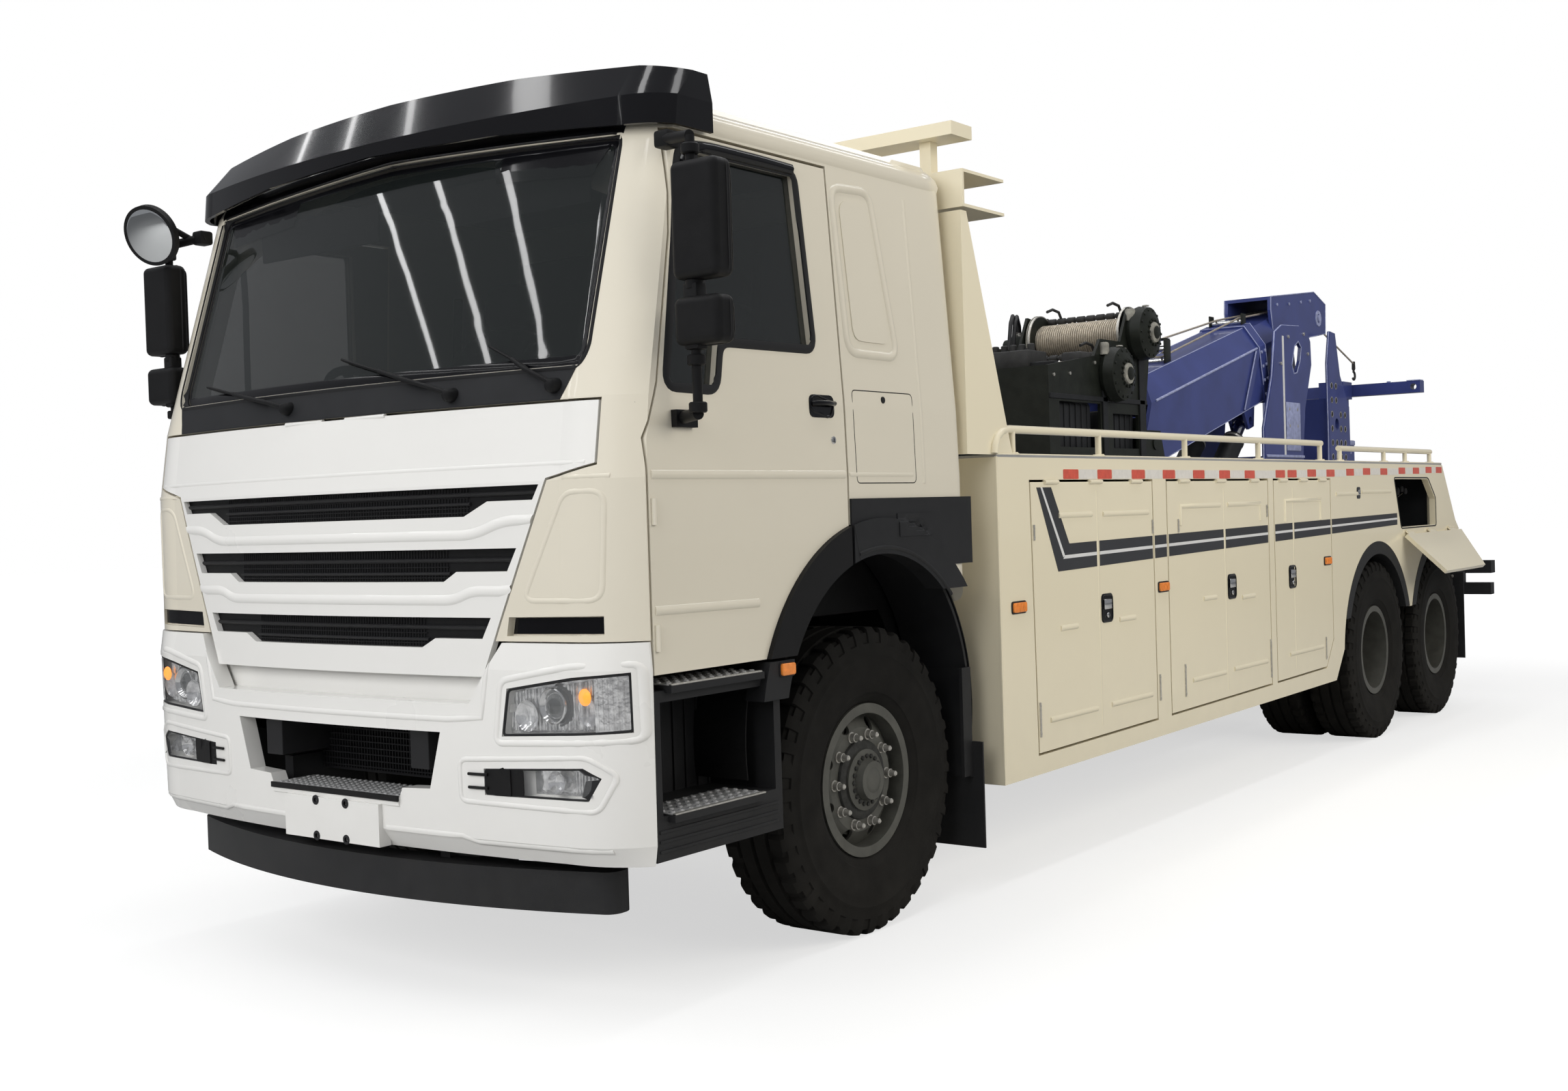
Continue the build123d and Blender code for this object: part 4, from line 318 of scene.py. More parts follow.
class Piece:
    """A mesh built from many small forms, in millimetres from the front axle."""

    def __init__(self, name, body, mat):
        self.name, self.body, self.mat, self.slot = name, body, mat, SLOT_OF.get(mat)
        self.bm = bmesh.new()

    def take(self, verts):
        for v in verts:
            v.co = at(*v.co)

    def hull(self, low, high):
        """Two outlines with the same number of points, joined by side faces."""
        a = [self.bm.verts.new(p) for p in low]
        b = [self.bm.verts.new(p) for p in high]
        n = len(a)
        self.bm.faces.new(a[::-1])
        self.bm.faces.new(b)
        for i in range(n):
            self.bm.faces.new((a[i], a[(i + 1) % n], b[(i + 1) % n], b[i]))
        self.take(a + b)

    def prism(self, points, axis, low, high):
        """An outline pushed along X, Y or Z; points are the other two coordinates in order."""
        def put(p, t):
            p = list(p)
            p.insert("xyz".index(axis), t)
            return p

        self.hull([put(p, low) for p in points], [put(p, high) for p in points])

    def box(self, x, y, z, rounding=0.0):
        """A block between two corners, each given as a pair, with softened edges."""
        (x0, x1), (y0, y1), (z0, z1) = x, y, z
        result = bmesh.ops.create_cube(self.bm, size=1.0)
        verts = result["verts"]
        for v in verts:
            v.co = Vector(((x0 + x1) / 2 + v.co.x * abs(x1 - x0), (y0 + y1) / 2 + v.co.y * abs(y1 - y0),
                           (z0 + z1) / 2 + v.co.z * abs(z1 - z0)))
        if rounding:
            edges = list({e for v in verts for e in v.link_edges})
            result = bmesh.ops.bevel(self.bm, geom=edges, offset=rounding, segments=2, affect="EDGES", profile=0.5)
            verts = list({v for f in result["faces"] for v in f.verts} | {v for v in verts if v.is_valid})
        self.take(verts)

    def lathe(self, profile, centre, axis="x", steps=32):
        """An outline of (along, radius) pairs turned about an axis through a centre."""
        rings = []
        for along, radius in profile:
            ring = []
            count = steps if radius > 0.01 else 1
            for i in range(count):
                a = 2 * math.pi * i / steps
                c, s = radius * math.cos(a), radius * math.sin(a)
                offset = {"x": (along, c, s), "y": (s, along, c), "z": (c, s, along)}[axis]
                ring.append(self.bm.verts.new([centre[k] + offset[k] for k in range(3)]))
            rings.append(ring)
        for a, b in zip(rings, rings[1:]):
            for i in range(steps):
                j = (i + 1) % steps
                corners = list(dict.fromkeys((a[i % len(a)], a[j % len(a)], b[j % len(b)], b[i % len(b)])))
                if len(corners) > 2:
                    self.bm.faces.new(corners)
        self.take([v for ring in rings for v in ring])

    def side_lathe(self, side, x, profile, spot, steps):
        """A lathe about X on one side of the truck; the profile is measured outwards from x."""
        self.lathe([(side * (x + d), r) for d, r in profile], (0, *spot), "x", steps)

    def tube(self, points, radius, steps=10):
        """A round bar along a line of points, closed at its ends."""
        points = [Vector(p) for p in points]
        rings = []
        side = None
        for i, p in enumerate(points):
            before, after = points[max(0, i - 1)], points[min(len(points) - 1, i + 1)]
            along = (after - before).normalized()
            if side is None:
                side = along.orthogonal().normalized()
            side = (side - along * side.dot(along)).normalized()
            other = along.cross(side)
            rings.append([self.bm.verts.new(p + radius * (math.cos(a) * side + math.sin(a) * other))
                          for a in (2 * math.pi * k / steps for k in range(steps))])
        for a, b in zip(rings, rings[1:]):
            for k in range(steps):
                self.bm.faces.new((a[k], a[(k + 1) % steps], b[(k + 1) % steps], b[k]))
        self.bm.faces.new(rings[0][::-1])
        self.bm.faces.new(rings[-1])
        self.take([v for ring in rings for v in ring])

    def band(self, points, width, height, place, closed=False):
        """A low rounded bead along a line; place puts (a, b, lift) on the surface it runs over."""
        n = len(points)
        rings = []
        for i, (a, b) in enumerate(points):
            pa, pb = points[i - 1] if (closed or i) else points[i]
            na, nb = points[(i + 1) % n] if (closed or i < n - 1) else points[i]
            da, db = na - pa, nb - pb
            size = math.hypot(da, db) or 1
            ua, ub = -db / size, da / size
            ring = []
            for share, lift in ((-0.5, -0.6), (-0.32, height * 0.75), (0, height), (0.32, height * 0.75),
                                (0.5, -0.6)):
                ring.append(self.bm.verts.new(place(a + ua * width * share, b + ub * width * share, lift)))
            rings.append(ring)
        pairs = list(zip(rings, rings[1:])) + ([(rings[-1], rings[0])] if closed else [])
        for first, second in pairs:
            for k in range(4):
                self.bm.faces.new((first[k], first[k + 1], second[k + 1], second[k]))
            self.bm.faces.new((first[4], first[0], second[0], second[4]))
        if not closed:
            self.bm.faces.new(rings[0][::-1])
            self.bm.faces.new(rings[-1])
        self.take([v for ring in rings for v in ring])

    def loop(self, outline, corner, steps, spacing, width, height, place):
        """A raised line round a closed outline whose corners are rounded."""
        self.band(dense(rounded(outline, corner, steps), spacing, True), width, height, place, True)

    def sheet(self, points, place, thick, step=60.0):
        """A flat outline laid on a curved surface as a thin plate; place puts (a, b, lift) on it."""
        flat = bmesh.new()
        flat.faces.new([flat.verts.new((a, b, 0)) for a, b in points])
        for axis in (0, 1):
            low = min(p[axis] for p in points)
            high = max(p[axis] for p in points)
            cuts = int((high - low) // step)
            for i in range(1, cuts + 1):
                spot = low + (high - low) * i / (cuts + 1)
                normal = (1, 0, 0) if axis == 0 else (0, 1, 0)
                geom = flat.verts[:] + flat.edges[:] + flat.faces[:]
                bmesh.ops.bisect_plane(flat, geom=geom, plane_co=[spot * k for k in normal], plane_no=normal)
        top = {}
        under = {}
        for v in flat.verts:
            top[v] = self.bm.verts.new(place(v.co.x, v.co.y, thick))
            under[v] = self.bm.verts.new(place(v.co.x, v.co.y, -0.5))
        for f in flat.faces:
            self.bm.faces.new([top[v] for v in f.verts])
            self.bm.faces.new([under[v] for v in reversed(f.verts)])
        for e in flat.edges:
            if len(e.link_faces) == 1:
                a, b = e.verts
                self.bm.faces.new((top[a], top[b], under[b], under[a]))
        self.take(list(top.values()) + list(under.values()))
        flat.free()

    def done(self, smooth_angle=None, bevel=0.0):
        """The finished object, on its body; edges that are sharper than smooth_angle, in degrees, stay sharp."""
        bmesh.ops.recalc_face_normals(self.bm, faces=self.bm.faces[:])
        data = bpy.data.meshes.new(self.name)
        self.bm.to_mesh(data)
        self.bm.free()
        obj = bpy.data.objects.new(self.name, data)
        bpy.context.scene.collection.objects.link(obj)
        data.materials.append(self.mat)
        if smooth_angle:
            data.polygons.foreach_set("use_smooth", [True] * len(data.polygons))
            data.set_sharp_from_angle(angle=math.radians(smooth_angle))
        if bevel:
            soften(obj, bevel, 2, 35)
        if self.body:
            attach(obj, self.body)
        return obj


def across(side, inner, outer):
    """The interval between two distances from the middle, on one side of the truck."""
    return tuple(sorted((side * inner, side * outer)))


def bolt(radius, height, top):
    """The profile of a bolt's head, whose top is chamfered to a smaller radius."""
    return (0, 0), (0, radius), (height, radius), (height + 1, top), (height + 1, 0)


def rectangle(a0, a1, b0, b1):
    return [(a0, b0), (a1, b0), (a1, b1), (a0, b1)]


def ring_spots(y, z, radius, count):
    """Places (y, z) evenly about a middle."""
    turns = [2 * math.pi * i / count for i in range(count)]
    return [(y + radius * math.cos(a), z + radius * math.sin(a)) for a in turns]


def arch(radius, degrees):
    """A point (y, z) on a circle about the middle of the front wheel arch."""
    a = math.radians(degrees)
    return ARCH_Y + radius * math.cos(a), ARCH_Z + radius * math.sin(a)


def curved_corner(before, corner, after, radius, share, steps):
    """A corner's curve; it takes at most a share of the two edges that meet there."""
    p = Vector(corner)
    a, b = Vector(before) - p, Vector(after) - p
    reach = min(radius, a.length * share, b.length * share)
    start, end = p + a.normalized() * reach, p + b.normalized() * reach
    curve = []
    for k in range(steps + 1):
        t = k / steps
        q = (1 - t) ** 2 * start + 2 * t * (1 - t) * p + t ** 2 * end
        curve.append((q.x, q.y))
    return curve


def rounded(points, radius, steps=5):
    """A closed outline with its corners rounded."""
    result = []
    for before, corner, after in zip(points[-1:] + points[:-1], points, points[1:] + points[:1]):
        result += curved_corner(before, corner, after, radius, 0.49, steps)
    return result


def rounded_line(points, radius):
    """An open line with its inner corners rounded."""
    result = [points[0]]
    for before, corner, after in zip(points, points[1:], points[2:]):
        result += curved_corner(before, corner, after, radius, 0.45, 5)
    return result + [points[-1]]


def on_side(side, x, points):
    """A line (y, z) at a distance from the truck's middle, on one side."""
    return [(side * x, y, z) for y, z in points]


def mirrored(points, side):
    return [(side * x, z) for x, z in points]


def shifted(place, extra):
    return lambda a, b, lift: place(a, b, lift + extra)


def grown(points, reach):
    """A closed outline moved outwards from its middle by about a reach."""
    cx, cz = sum(p[0] for p in points) / len(points), sum(p[1] for p in points) / len(points)
    result = []
    for i, p in enumerate(points):
        before, after = Vector(points[i - 1]), Vector(points[(i + 1) % len(points)])
        here = Vector(p)
        n = Vector((0.0, 0.0))
        for edge in (here - before, after - here):
            if edge.length > 1e-6:
                edge.normalize()
                side_way = Vector((edge.y, -edge.x))
                n += side_way if side_way.dot(here - Vector((cx, cz))) > 0 else -side_way
        if n.length > 1e-6:
            n.normalize()
        result.append((p[0] + n.x * reach, p[1] + n.y * reach))
    return result


def dense(points, step, closed=False):
    """A line with points added so that none of its runs is longer than a step."""
    result = []
    pairs = list(zip(points, points[1:])) + ([(points[-1], points[0])] if closed else [])
    for (a, b), (c, d) in pairs:
        count = max(1, int(math.hypot(c - a, d - b) // step))
        result += [(a + (c - a) * k / count, b + (d - b) * k / count) for k in range(count)]
    if not closed:
        result.append(points[-1])
    return result


def clip(points, low, high):
    """The part of a convex (y, z) outline between two y values."""
    for limit, sign in ((low, 1), (high, -1)):
        kept = []
        for i, p in enumerate(points):
            q = points[(i + 1) % len(points)]
            inside_p, inside_q = sign * (p[0] - limit) >= 0, sign * (q[0] - limit) >= 0
            if inside_p:
                kept.append(p)
            if inside_p != inside_q:
                t = (limit - p[0]) / (q[0] - p[0])
                kept.append((limit, p[1] + (q[1] - p[1]) * t))
        points = kept
        if len(points) < 3:
            return []
    return points


TREES = {}


def surface(names):
    """One searchable surface from some CAD nodes."""
    key = tuple(names)
    if key not in TREES:
        verts, faces = [], []
        for name in names:
            base = len(verts)
            data = NODES[name].data
            verts += [v.co for v in data.vertices]
            faces += [[base + i for i in p.vertices] for p in data.polygons]
        TREES[key] = BVHTree.FromPolygons(verts, faces)
    return TREES[key]


def onto(names, direction):
    """A place function: puts (a, b, lift) on the named nodes, seen along X ('x', side) or Y."""
    axis, side = direction
    tree = surface(names)

    def place(a, b, lift):
        if axis == "x":
            start, way = at(side * 1900, a, b), Vector((-side, 0, 0))
        else:
            start, way = at(a, -2200, b), Vector((0, 1, 0))
        hit = tree.ray_cast(start, way)
        if hit[0] is None:
            near = tree.find_nearest(start + way * 0.65)
            point, normal = near[0], near[1]
        else:
            point, normal = hit[0], hit[1]
        if normal.dot(way) > 0:
            normal = -normal
        p = point + normal * (lift / 1000)
        return (p.x * 1000, p.y * 1000 + CENTRE, p.z * 1000)
    return place


def flat_side(side, x=BODY_SIDE_X):
    """A place function for the body's flat side."""
    return lambda a, b, lift: (side * (x + lift), a, b)


# Tyres

TREAD_PITCHES = 40
FRACTIONS = (0.0, 0.03, 0.22, 0.50, 0.53, 0.56, 0.72, 0.96)
TYRE_RADIUS = 560.0
GROOVE_RADIUS = 545.0


def in_span(t, low, high):
    t = t % 1.0
    low, high = low % 1.0, high % 1.0
    return low <= t <= high if low < high else (t >= low or t <= high)


def tread_rows():
    """Rows across a tyre: x, radius, zone, and what the zone's gaps cut away in x and radius."""
    side = [
        (107.7, 256, None), (107.7, 281, None), (117, 292, None), (128, 312, None), (131, 318, None),
        (134.5, 321, None), (138, 345, None), (144, 372, None), (149, 402, None), (150, 428, None),
        (148.5, 452, None), (149.8, 455, None), (149.2, 462, None), (147, 466, None), (144.5, 486, None),
        (143.0, 500, None), (142.5, 503, "shoulder"), (139, 528, "shoulder"), (133, 549, "shoulder"),
        (124, 559, "shoulder"), (112, TYRE_RADIUS, "shoulder"), (74, TYRE_RADIUS, "shoulder"),
        (71, GROOVE_RADIUS, None), (61, GROOVE_RADIUS, None),
        (58, TYRE_RADIUS, "block"), (9, TYRE_RADIUS, "block"), (6, GROOVE_RADIUS, None),
    ]
    rows = [(x, r, zone, 1) for x, r, zone in side]
    rows += [(-x, r, zone, -1) for x, r, zone in reversed(side)]
    return rows


def tyre_form(piece, x_middle, y):
    """One tyre with lugged shoulders, staggered blocks and ringed side walls."""
    rows = tread_rows()
    angles = [(k + f) / TREAD_PITCHES for k in range(TREAD_PITCHES) for f in FRACTIONS]
    rings = []
    for turn in angles:
        a = 2 * math.pi * turn
        phase = turn * TREAD_PITCHES
        section = []
        for x, r, zone, hand in rows:
            shift = 0.0 if hand > 0 else 0.5
            if zone == "shoulder" and not in_span(phase, 0.03 + shift, 0.56 + shift):
                if r < 540:
                    x -= hand * 6
                else:
                    r = GROOVE_RADIUS + (2 if abs(x) < 115 else -6)
                    x -= hand * (3 if abs(x) > 115 else 0)
            if zone == "block" and in_span(phase, 0.72 + shift, 0.96 + shift):
                r = GROOVE_RADIUS + 1
            place = (x_middle + x, y + r * math.sin(a), TYRE_RADIUS + r * math.cos(a))
            section.append(piece.bm.verts.new(place))
        rings.append(section)
    for first, second in zip(rings, rings[1:] + rings[:1]):
        for k in range(len(rows) - 1):
            piece.bm.faces.new((first[k], first[k + 1], second[k + 1], second[k]))
        piece.bm.faces.new((first[-1], first[0], second[0], second[-1]))
    piece.take([v for section in rings for v in section])


MID_AXLE_Y, REAR_AXLE_Y = 5650.0, 7000.0
FRONT_X = 1011.0
REAR_OUTER_X = 1094.0
TWIN_SPACING = 345.0
REAR_TYRES = (REAR_OUTER_X, REAR_OUTER_X - TWIN_SPACING)
# Wheel's name, axle's y, x of its tyres, x of the face that the nuts stand on, the nuts' length,
# and the distances from that face to the hub's ring and to the hub's cap
WHEELS = [("front", 0.0, (FRONT_X,), FRONT_X + 84, 50, 26, 62),
          ("mid", MID_AXLE_Y, REAR_TYRES, sum(REAR_TYRES) / 2 + 12, 44, 70, 94),
          ("rear", REAR_AXLE_Y, REAR_TYRES, sum(REAR_TYRES) / 2 + 12, 44, 70, 94)]
STUDS = 10
STUD_CIRCLE = 167.5
HUB_BOLTS = 20
HUB_BOLT_CIRCLE = 88


for kind, y, middles, face, reach, hub_depth, cap_depth in WHEELS:
    for label, side in SIDES:
        body = f"wheel_{kind}_{label}"
        axle = (y, TYRE_RADIUS)
        tyre = Piece(f"lugged_tyre_{kind}_{label}", body, RUBBER)
        for x in middles:
            tyre_form(tyre, side * x, y)
        obj = tyre.done(28)
        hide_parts(f"tyre_{kind}_{label}")
        nuts = Piece(f"wheel_nuts_{kind}_{label}", body, NUT)
        for spot in ring_spots(*axle, STUD_CIRCLE, STUDS):
            nuts.side_lathe(side, face + 2, [(0, 0), (0, 21), (5, 21), (6, 17), (24, 16.5), (26, 11),
                                             (reach - 4, 10), (reach, 6), (reach, 0)], spot, 12)
        nuts.done(35)
        hub = Piece(f"hub_detail_{kind}_{label}", body, HUB)
        base = face + hub_depth
        for spot in ring_spots(*axle, HUB_BOLT_CIRCLE, HUB_BOLTS):
            hub.side_lathe(side, base, ((-12, 0), (-12, 9), (12, 9), (14, 7), (14, 0)), spot, 6)
        hub.side_lathe(side, base, ((-2, 62), (-2, 70), (16, 66), (18, 60), (18, 50), (-2, 50), (-2, 62)),
                       axle, 40)
        hub.side_lathe(side, face, ((2, 106), (2, 148), (14, 144), (20, 132), (20, 112), (2, 106)), axle, 40)
        hub.done(35)
        cap = Piece(f"hub_cap_{kind}_{label}", body, RIM)
        cap.side_lathe(side, face + cap_depth, ((-30, 0), (-30, 58), (-8, 56), (0, 46), (2, 30), (2, 0)),
                       axle, 36)
        cap.done(35)


# Decals and pressed lines on the body's sides

def side_spans(label):
    """The bodies along a side, each with the y interval that it covers."""
    return [("truck", 830, 1070), (f"locker_front_{label}", 1087, 2269), ("truck", 2281, 2429),
            (f"locker_middle_{label}", 2441, 3755), ("truck", 3767, 3839),
            (f"locker_rear_{label}", 3851, 4766), ("truck", 4778, 7100)]


STRIPE_LEG = [(1133, 1618), (1263, 1618), (1416, 1376), (1309, 1260)]
STRIPE_RUN = [(1309, 1260), (1416, 1376), (6065, 1421), (6065, 1345)]
PIN_LEG = [(1168, 1618), (1184, 1618), (1372, 1326), (1356, 1318)]
PIN_RUN = [(1356, 1312), (1372, 1327), (6065, 1391), (6065, 1379)]
# y intervals that the stripes cover; the gaps between are cream ribs
STRIPE_PARTS = [(1087, 1676), (1704, 2262), (2288, 2422), (2448, 3126), (3154, 3748), (3858, 4126),
                (4154, 4760), (4786, 6065)]
RED_SQUARES = [(1448, 1650), (1775, 1652), (2126, 1659), (2469, 1659), (2828, 1662), (3161, 1666), (3505, 1670),
               (3957, 1674), (4140, 1675), (4460, 1679), (4784, 1679), (5141, 1685), (5457, 1690), (5806, 1690),
               (6192, 1696), (6509, 1697), (6805, 1703), (7054, 1703)]
PRESSED = [
    [(1325, 1498), (1638, 1498)], [(1744, 1496), (2223, 1496)], [(1316, 1018), (1474, 1018)],
    [(1887, 1016), (2053, 1016)], [(1204, 641), (1645, 641)], [(1785, 642), (2217, 642)],
    [(2592, 1425), (2592, 1517), (3088, 1517)], [(3185, 1518), (3643, 1518), (3643, 1425)],
    [(2849, 1052), (3013, 1052)], [(3355, 1030), (3535, 1030)], [(2691, 660), (3110, 660)],
    [(3225, 665), (3696, 665)], [(4016, 1410), (4016, 1527), (4594, 1527), (4594, 1410)],
    [(4041, 670), (4583, 670)], [(4873, 1556), (5269, 1556)], [(5351, 1565), (5940, 1565)],
]
FOLDS = [(1690, 560, 1600), (3140, 570, 1600), (4140, 580, 1600)]
HINGE_BARS = [(1113, 581, 725), (2304, 603, 727), (2600, 590, 748), (3745, 571, 779), (4633, 590, 722),
              (1100, 1398, 1464), (2262, 1394, 1460), (2560, 1391, 1457), (3734, 1443, 1509)]
LATCHES = [(1764, 1077), (3221, 1094), (4107, 1101)]
MARKERS = [(954, 1131), (2368, 1139), (4690, 1166)]
TOP_LATCH = (5290, 1560)
SMOOTH_KINDS = ("pressed_line", "fold_line", "latch_plate", "latch_paddle", "marker_lens")
BEVELLED_KINDS = ("latch_paddle", "marker_lens", "marker_base")
RAIL_POSTS = (985, 1773, 2723, 3700, 4680, 5032, 5891, 6350, 6920)


def body_of_spot(label, y):
    for body, low, high in side_spans(label):
        if low - 8 <= y <= high + 8:
            return body
    return "truck"


def side_detail():
    for label, side in SIDES:
        place = flat_side(side)
        pieces = {}

        def piece(kind, body, mat):
            key = (kind, body)
            if key not in pieces:
                name = f"{kind}_{body}_{label}" if body == "truck" else f"{kind}_{body}"
                pieces[key] = Piece(name, body, mat)
            return pieces[key]

        for low, high in STRIPE_PARTS:
            body = body_of_spot(label, (low + high) / 2)
            for outline in (STRIPE_LEG, STRIPE_RUN):
                part = clip(outline, low, high)
                if part:
                    piece("stripe", body, STRIPE).sheet(part, place, 0.9, 900)
            for outline in (PIN_LEG, PIN_RUN):
                part = clip(outline, low, high)
                if part:
                    piece("pin_stripe", body, PIN_STRIPE).sheet(part, place, 1.6, 900)
        for i, (y, z) in enumerate(RED_SQUARES):
            low_z = max(z - 19, 1652)
            square = rounded(rectangle(y - 71, y + 71, low_z, low_z + 42), 6, 2)
            piece("red_marking", "truck", RED).sheet(square, place, 1.0, 900)
            next_y = RED_SQUARES[i + 1][0] if i + 1 < len(RED_SQUARES) else y
            if next_y - y > 190:
                low, high = y + 76, next_y - 76
                square = rounded(rectangle(low, high, low_z, low_z + 42), 6, 2)
                piece("white_marking", "truck", PALE).sheet(square, place, 1.0, 900)
        for line in PRESSED:
            body = body_of_spot(label, sum(p[0] for p in line) / len(line))
            piece("pressed_line", body, CREAM).band(dense(line, 200), 26, 7, place)
        for y, low, high in FOLDS:
            piece("fold_line", body_of_spot(label, y), CREAM).band([(y, low), (y, high)], 16, 1.8, place)
        for y, low, high in HINGE_BARS:
            part = piece("hinge_bar", body_of_spot(label, y), NUT)
            part.box(across(side, 1247, 1253), (y - 6, y + 6), (low, high), 1.5)
            for z in (low + 14, high - 14):
                part.side_lathe(side, 1252, ((0, 0), (0, 4.5), (3, 3.5), (3.5, 0)), (y, z), 10)
        for y, z in LATCHES:
            body = body_of_spot(label, y)
            form = rounded(rectangle(y - 58, y + 58, z - 65, z + 65), 26, 5)
            piece("latch_plate", body, GLOSS_BLACK).sheet(form, place, 1.4, 900)
            inner = rounded(rectangle(y - 52, y + 52, z - 59, z + 59), 24, 5)
            piece("latch_plate", body, GLOSS_BLACK).band(inner, 12, 5, place, True)
            paddle = piece("latch_paddle", body, CHROME)
            paddle.box(across(side, 1249, 1258), (y - 36, y + 34), (z - 6, z + 40), 4)
            paddle.side_lathe(side, 1249, ((0, 0), (0, 13), (7, 12), (9, 9), (9, 0)), (y, z - 32), 20)
            piece("latch_key", body, SEAL).box(across(side, 1257, 1259), (y - 2, y + 2), (z - 40, z - 24))
        y, z = TOP_LATCH
        piece("latch_plate", "truck", GLOSS_BLACK).sheet(
            rounded(rectangle(y - 34, y + 34, z - 36, z + 36), 16, 4), place, 1.4, 900)
        piece("latch_paddle", "truck", CHROME).box(across(side, 1249, 1256), (y - 22, y + 22),
                                                   (z - 14, z + 18), 3)
        for y, z in MARKERS:
            body = body_of_spot(label, y)
            outer = rounded(rectangle(y - 60, y + 60, z - 26, z + 26), 12, 3)
            inner = rounded(rectangle(y - 54, y + 54, z - 20, z + 20), 10, 3)
            piece("marker_base", body, SEAL).sheet(outer, place, 5, 900)
            piece("marker_lens", body, AMBER).sheet(inner, place, 12, 900)
            for t in range(-40, 41, 16):
                piece("marker_lens", body, AMBER).band([(y + t, z - 17), (y + t, z + 17)], 8, 2.5,
                                                       shifted(place, 12))
        for (kind, _), made in pieces.items():
            made.done(50 if kind in SMOOTH_KINDS else None, 2.0 if kind in BEVELLED_KINDS else 0.0)
        rail = Piece(f"handrail_end_{label}", "truck", CREAM)
        rail.tube([(side * x, y, z) for x, y, z in ((1222, 975, 1857), (1224, 940, 1856), (1232, 880, 1846),
                   (1242, 826, 1822), (1246, 800, 1790), (1246, 794, 1756))], 17, 12)
        for y in RAIL_POSTS:
            rail.lathe([(0, 14), (0, 30), (6, 30), (9, 24), (12, 15), (12, 14)], (side * 1222, y, 1752), "z", 20)
            for dx in (22, -22):
                rail.lathe([(6, 0), (6, 5), (11, 5), (12, 0)], (side * 1222 + dx, y, 1752), "z", 6)
        rail.done(45)
        gutter = Piece(f"top_flange_{label}", "truck", CREAM)
        gutter.tube(on_side(side, 1240, ((812, 1751), (7135, 1751))), 7, 8)
        gutter.tube(on_side(side, 1243, ((811, 505), (811, 1745))), 7, 8)
        gutter.done(60)


side_detail()


# The open control boxes near the tail

CONTROL_PANELS = [(575, 583, (5996, 6994), (1280, 1736), 2), (583, 1180, (5994, 6000), (1280, 1736), 2),
                  (583, 1180, (6990, 6996), (1280, 1736), 2), (583, 1190, (6000, 6990), (1276, 1282), 2),
                  (583, 1190, (6000, 6990), (1732, 1738), 2), (900, 1040, (6240, 6800), (1290, 1380), 8)]
CONTROL_RIM = [(6024, 1644), (6775, 1642), (6946, 1506), (6949, 1327), (6161, 1327)]


def control_boxes():
    for label, side in SIDES:
        lining = Piece(f"control_lining_{label}", "truck", FRAME)
        for inner, outer, ys, zs, soft in CONTROL_PANELS:
            lining.box(across(side, inner, outer), ys, zs, soft)
        lining.done(bevel=1.5)
        valves = Piece(f"control_valves_{label}", "truck", CASTING)
        levers = Piece(f"control_levers_{label}", "truck", CHROME)
        knobs = Piece(f"control_knobs_{label}", "truck", SEAL)
        for i in range(9):
            y = 6270 + i * 60
            valves.box(across(side, 905, 1030), (y - 24, y + 24), (1372, 1430), 6)
            valves.lathe([(0, 0), (0, 17), (26, 15), (30, 9), (30, 0)], (side * 968, y, 1428), "z", 14)
            tip = (side * (1085 + (i % 3) * 8), y + (i % 2) * 4, 1560 + (i * 37 % 5) * 5)
            levers.tube([(side * 968, y, 1450), (side * 1020, y, 1500), tip], 6.5, 8)
            knobs.lathe([(-22, 0), (-20, 13), (0, 17), (18, 13), (24, 0)], tip, "z", 14)
        valves.done(bevel=1.5)
        levers.done(40)
        knobs.done(40)
        gauges = Piece(f"control_gauges_{label}", "truck", SEAL)
        faces = Piece(f"control_gauge_faces_{label}", "truck", PALE)
        for y, z in ((6420, 1620), (6560, 1620), (6700, 1600)):
            gauges.side_lathe(side, 583, ((0, 0), (0, 38), (26, 38), (30, 34), (24, 32), (24, 0)), (y, z), 24)
            faces.side_lathe(side, 607, ((0, 0), (0, 31), (2, 31), (2, 0)), (y, z), 24)
        gauges.done(40)
        faces.done(30)
        hoses = Piece(f"control_hoses_{label}", "truck", SEAL)
        for i in range(6):
            y = 6300 + i * 80
            path = ((900, y, 1330), (800, y, 1316), (700, y + 20, 1318), (640, y + 30, 1350),
                    (600, y + 30, 1420), (590, y + 30, 1480))
            hoses.tube([(side * x, *rest) for x, *rest in path], 11, 8)
        hoses.done(40)
        rim = Piece(f"control_seal_{label}", "truck", SEAL)
        place = flat_side(side)
        middle_y, middle_z = (sum(values) / len(CONTROL_RIM) for values in zip(*CONTROL_RIM))
        outline = [(y + math.copysign(9, y - middle_y), z + math.copysign(9, z - middle_z))
                   for y, z in CONTROL_RIM]
        rim.loop(outline, 24, 3, 200, 9, 4, place)
        rim.done(60)


control_boxes()


# Front of the cab

# Grille openings: half width at the top, z of the top and of the outer ends, half widths of the middle
# part at its top and bottom, and z of its bottom
GRILLE_OPENINGS = [
    (925.0, 1654.0, 1608.0, 725.0, 629.0, 1563.0),
    (835.0, 1462.0, 1391.0, 592.0, 538.0, 1360.0),
    (728.0, 1248.0, 1182.0, 495.0, 437.0, 1152.0),
]
LAMP_OUTLINE = [(778, 885), (805, 1033), (1049, 1072), (1212, 1085), (1212, 905)]
BOWL = [(1, 1), (0.9, 0.94), (0.5, 0.72), (0.25, 0.4), (0.2, 0.15), (0.2, 0)]
FOG_OUTLINE = [(700, 700), (700, 782), (1075, 800), (1130, 770), (1090, 700)]


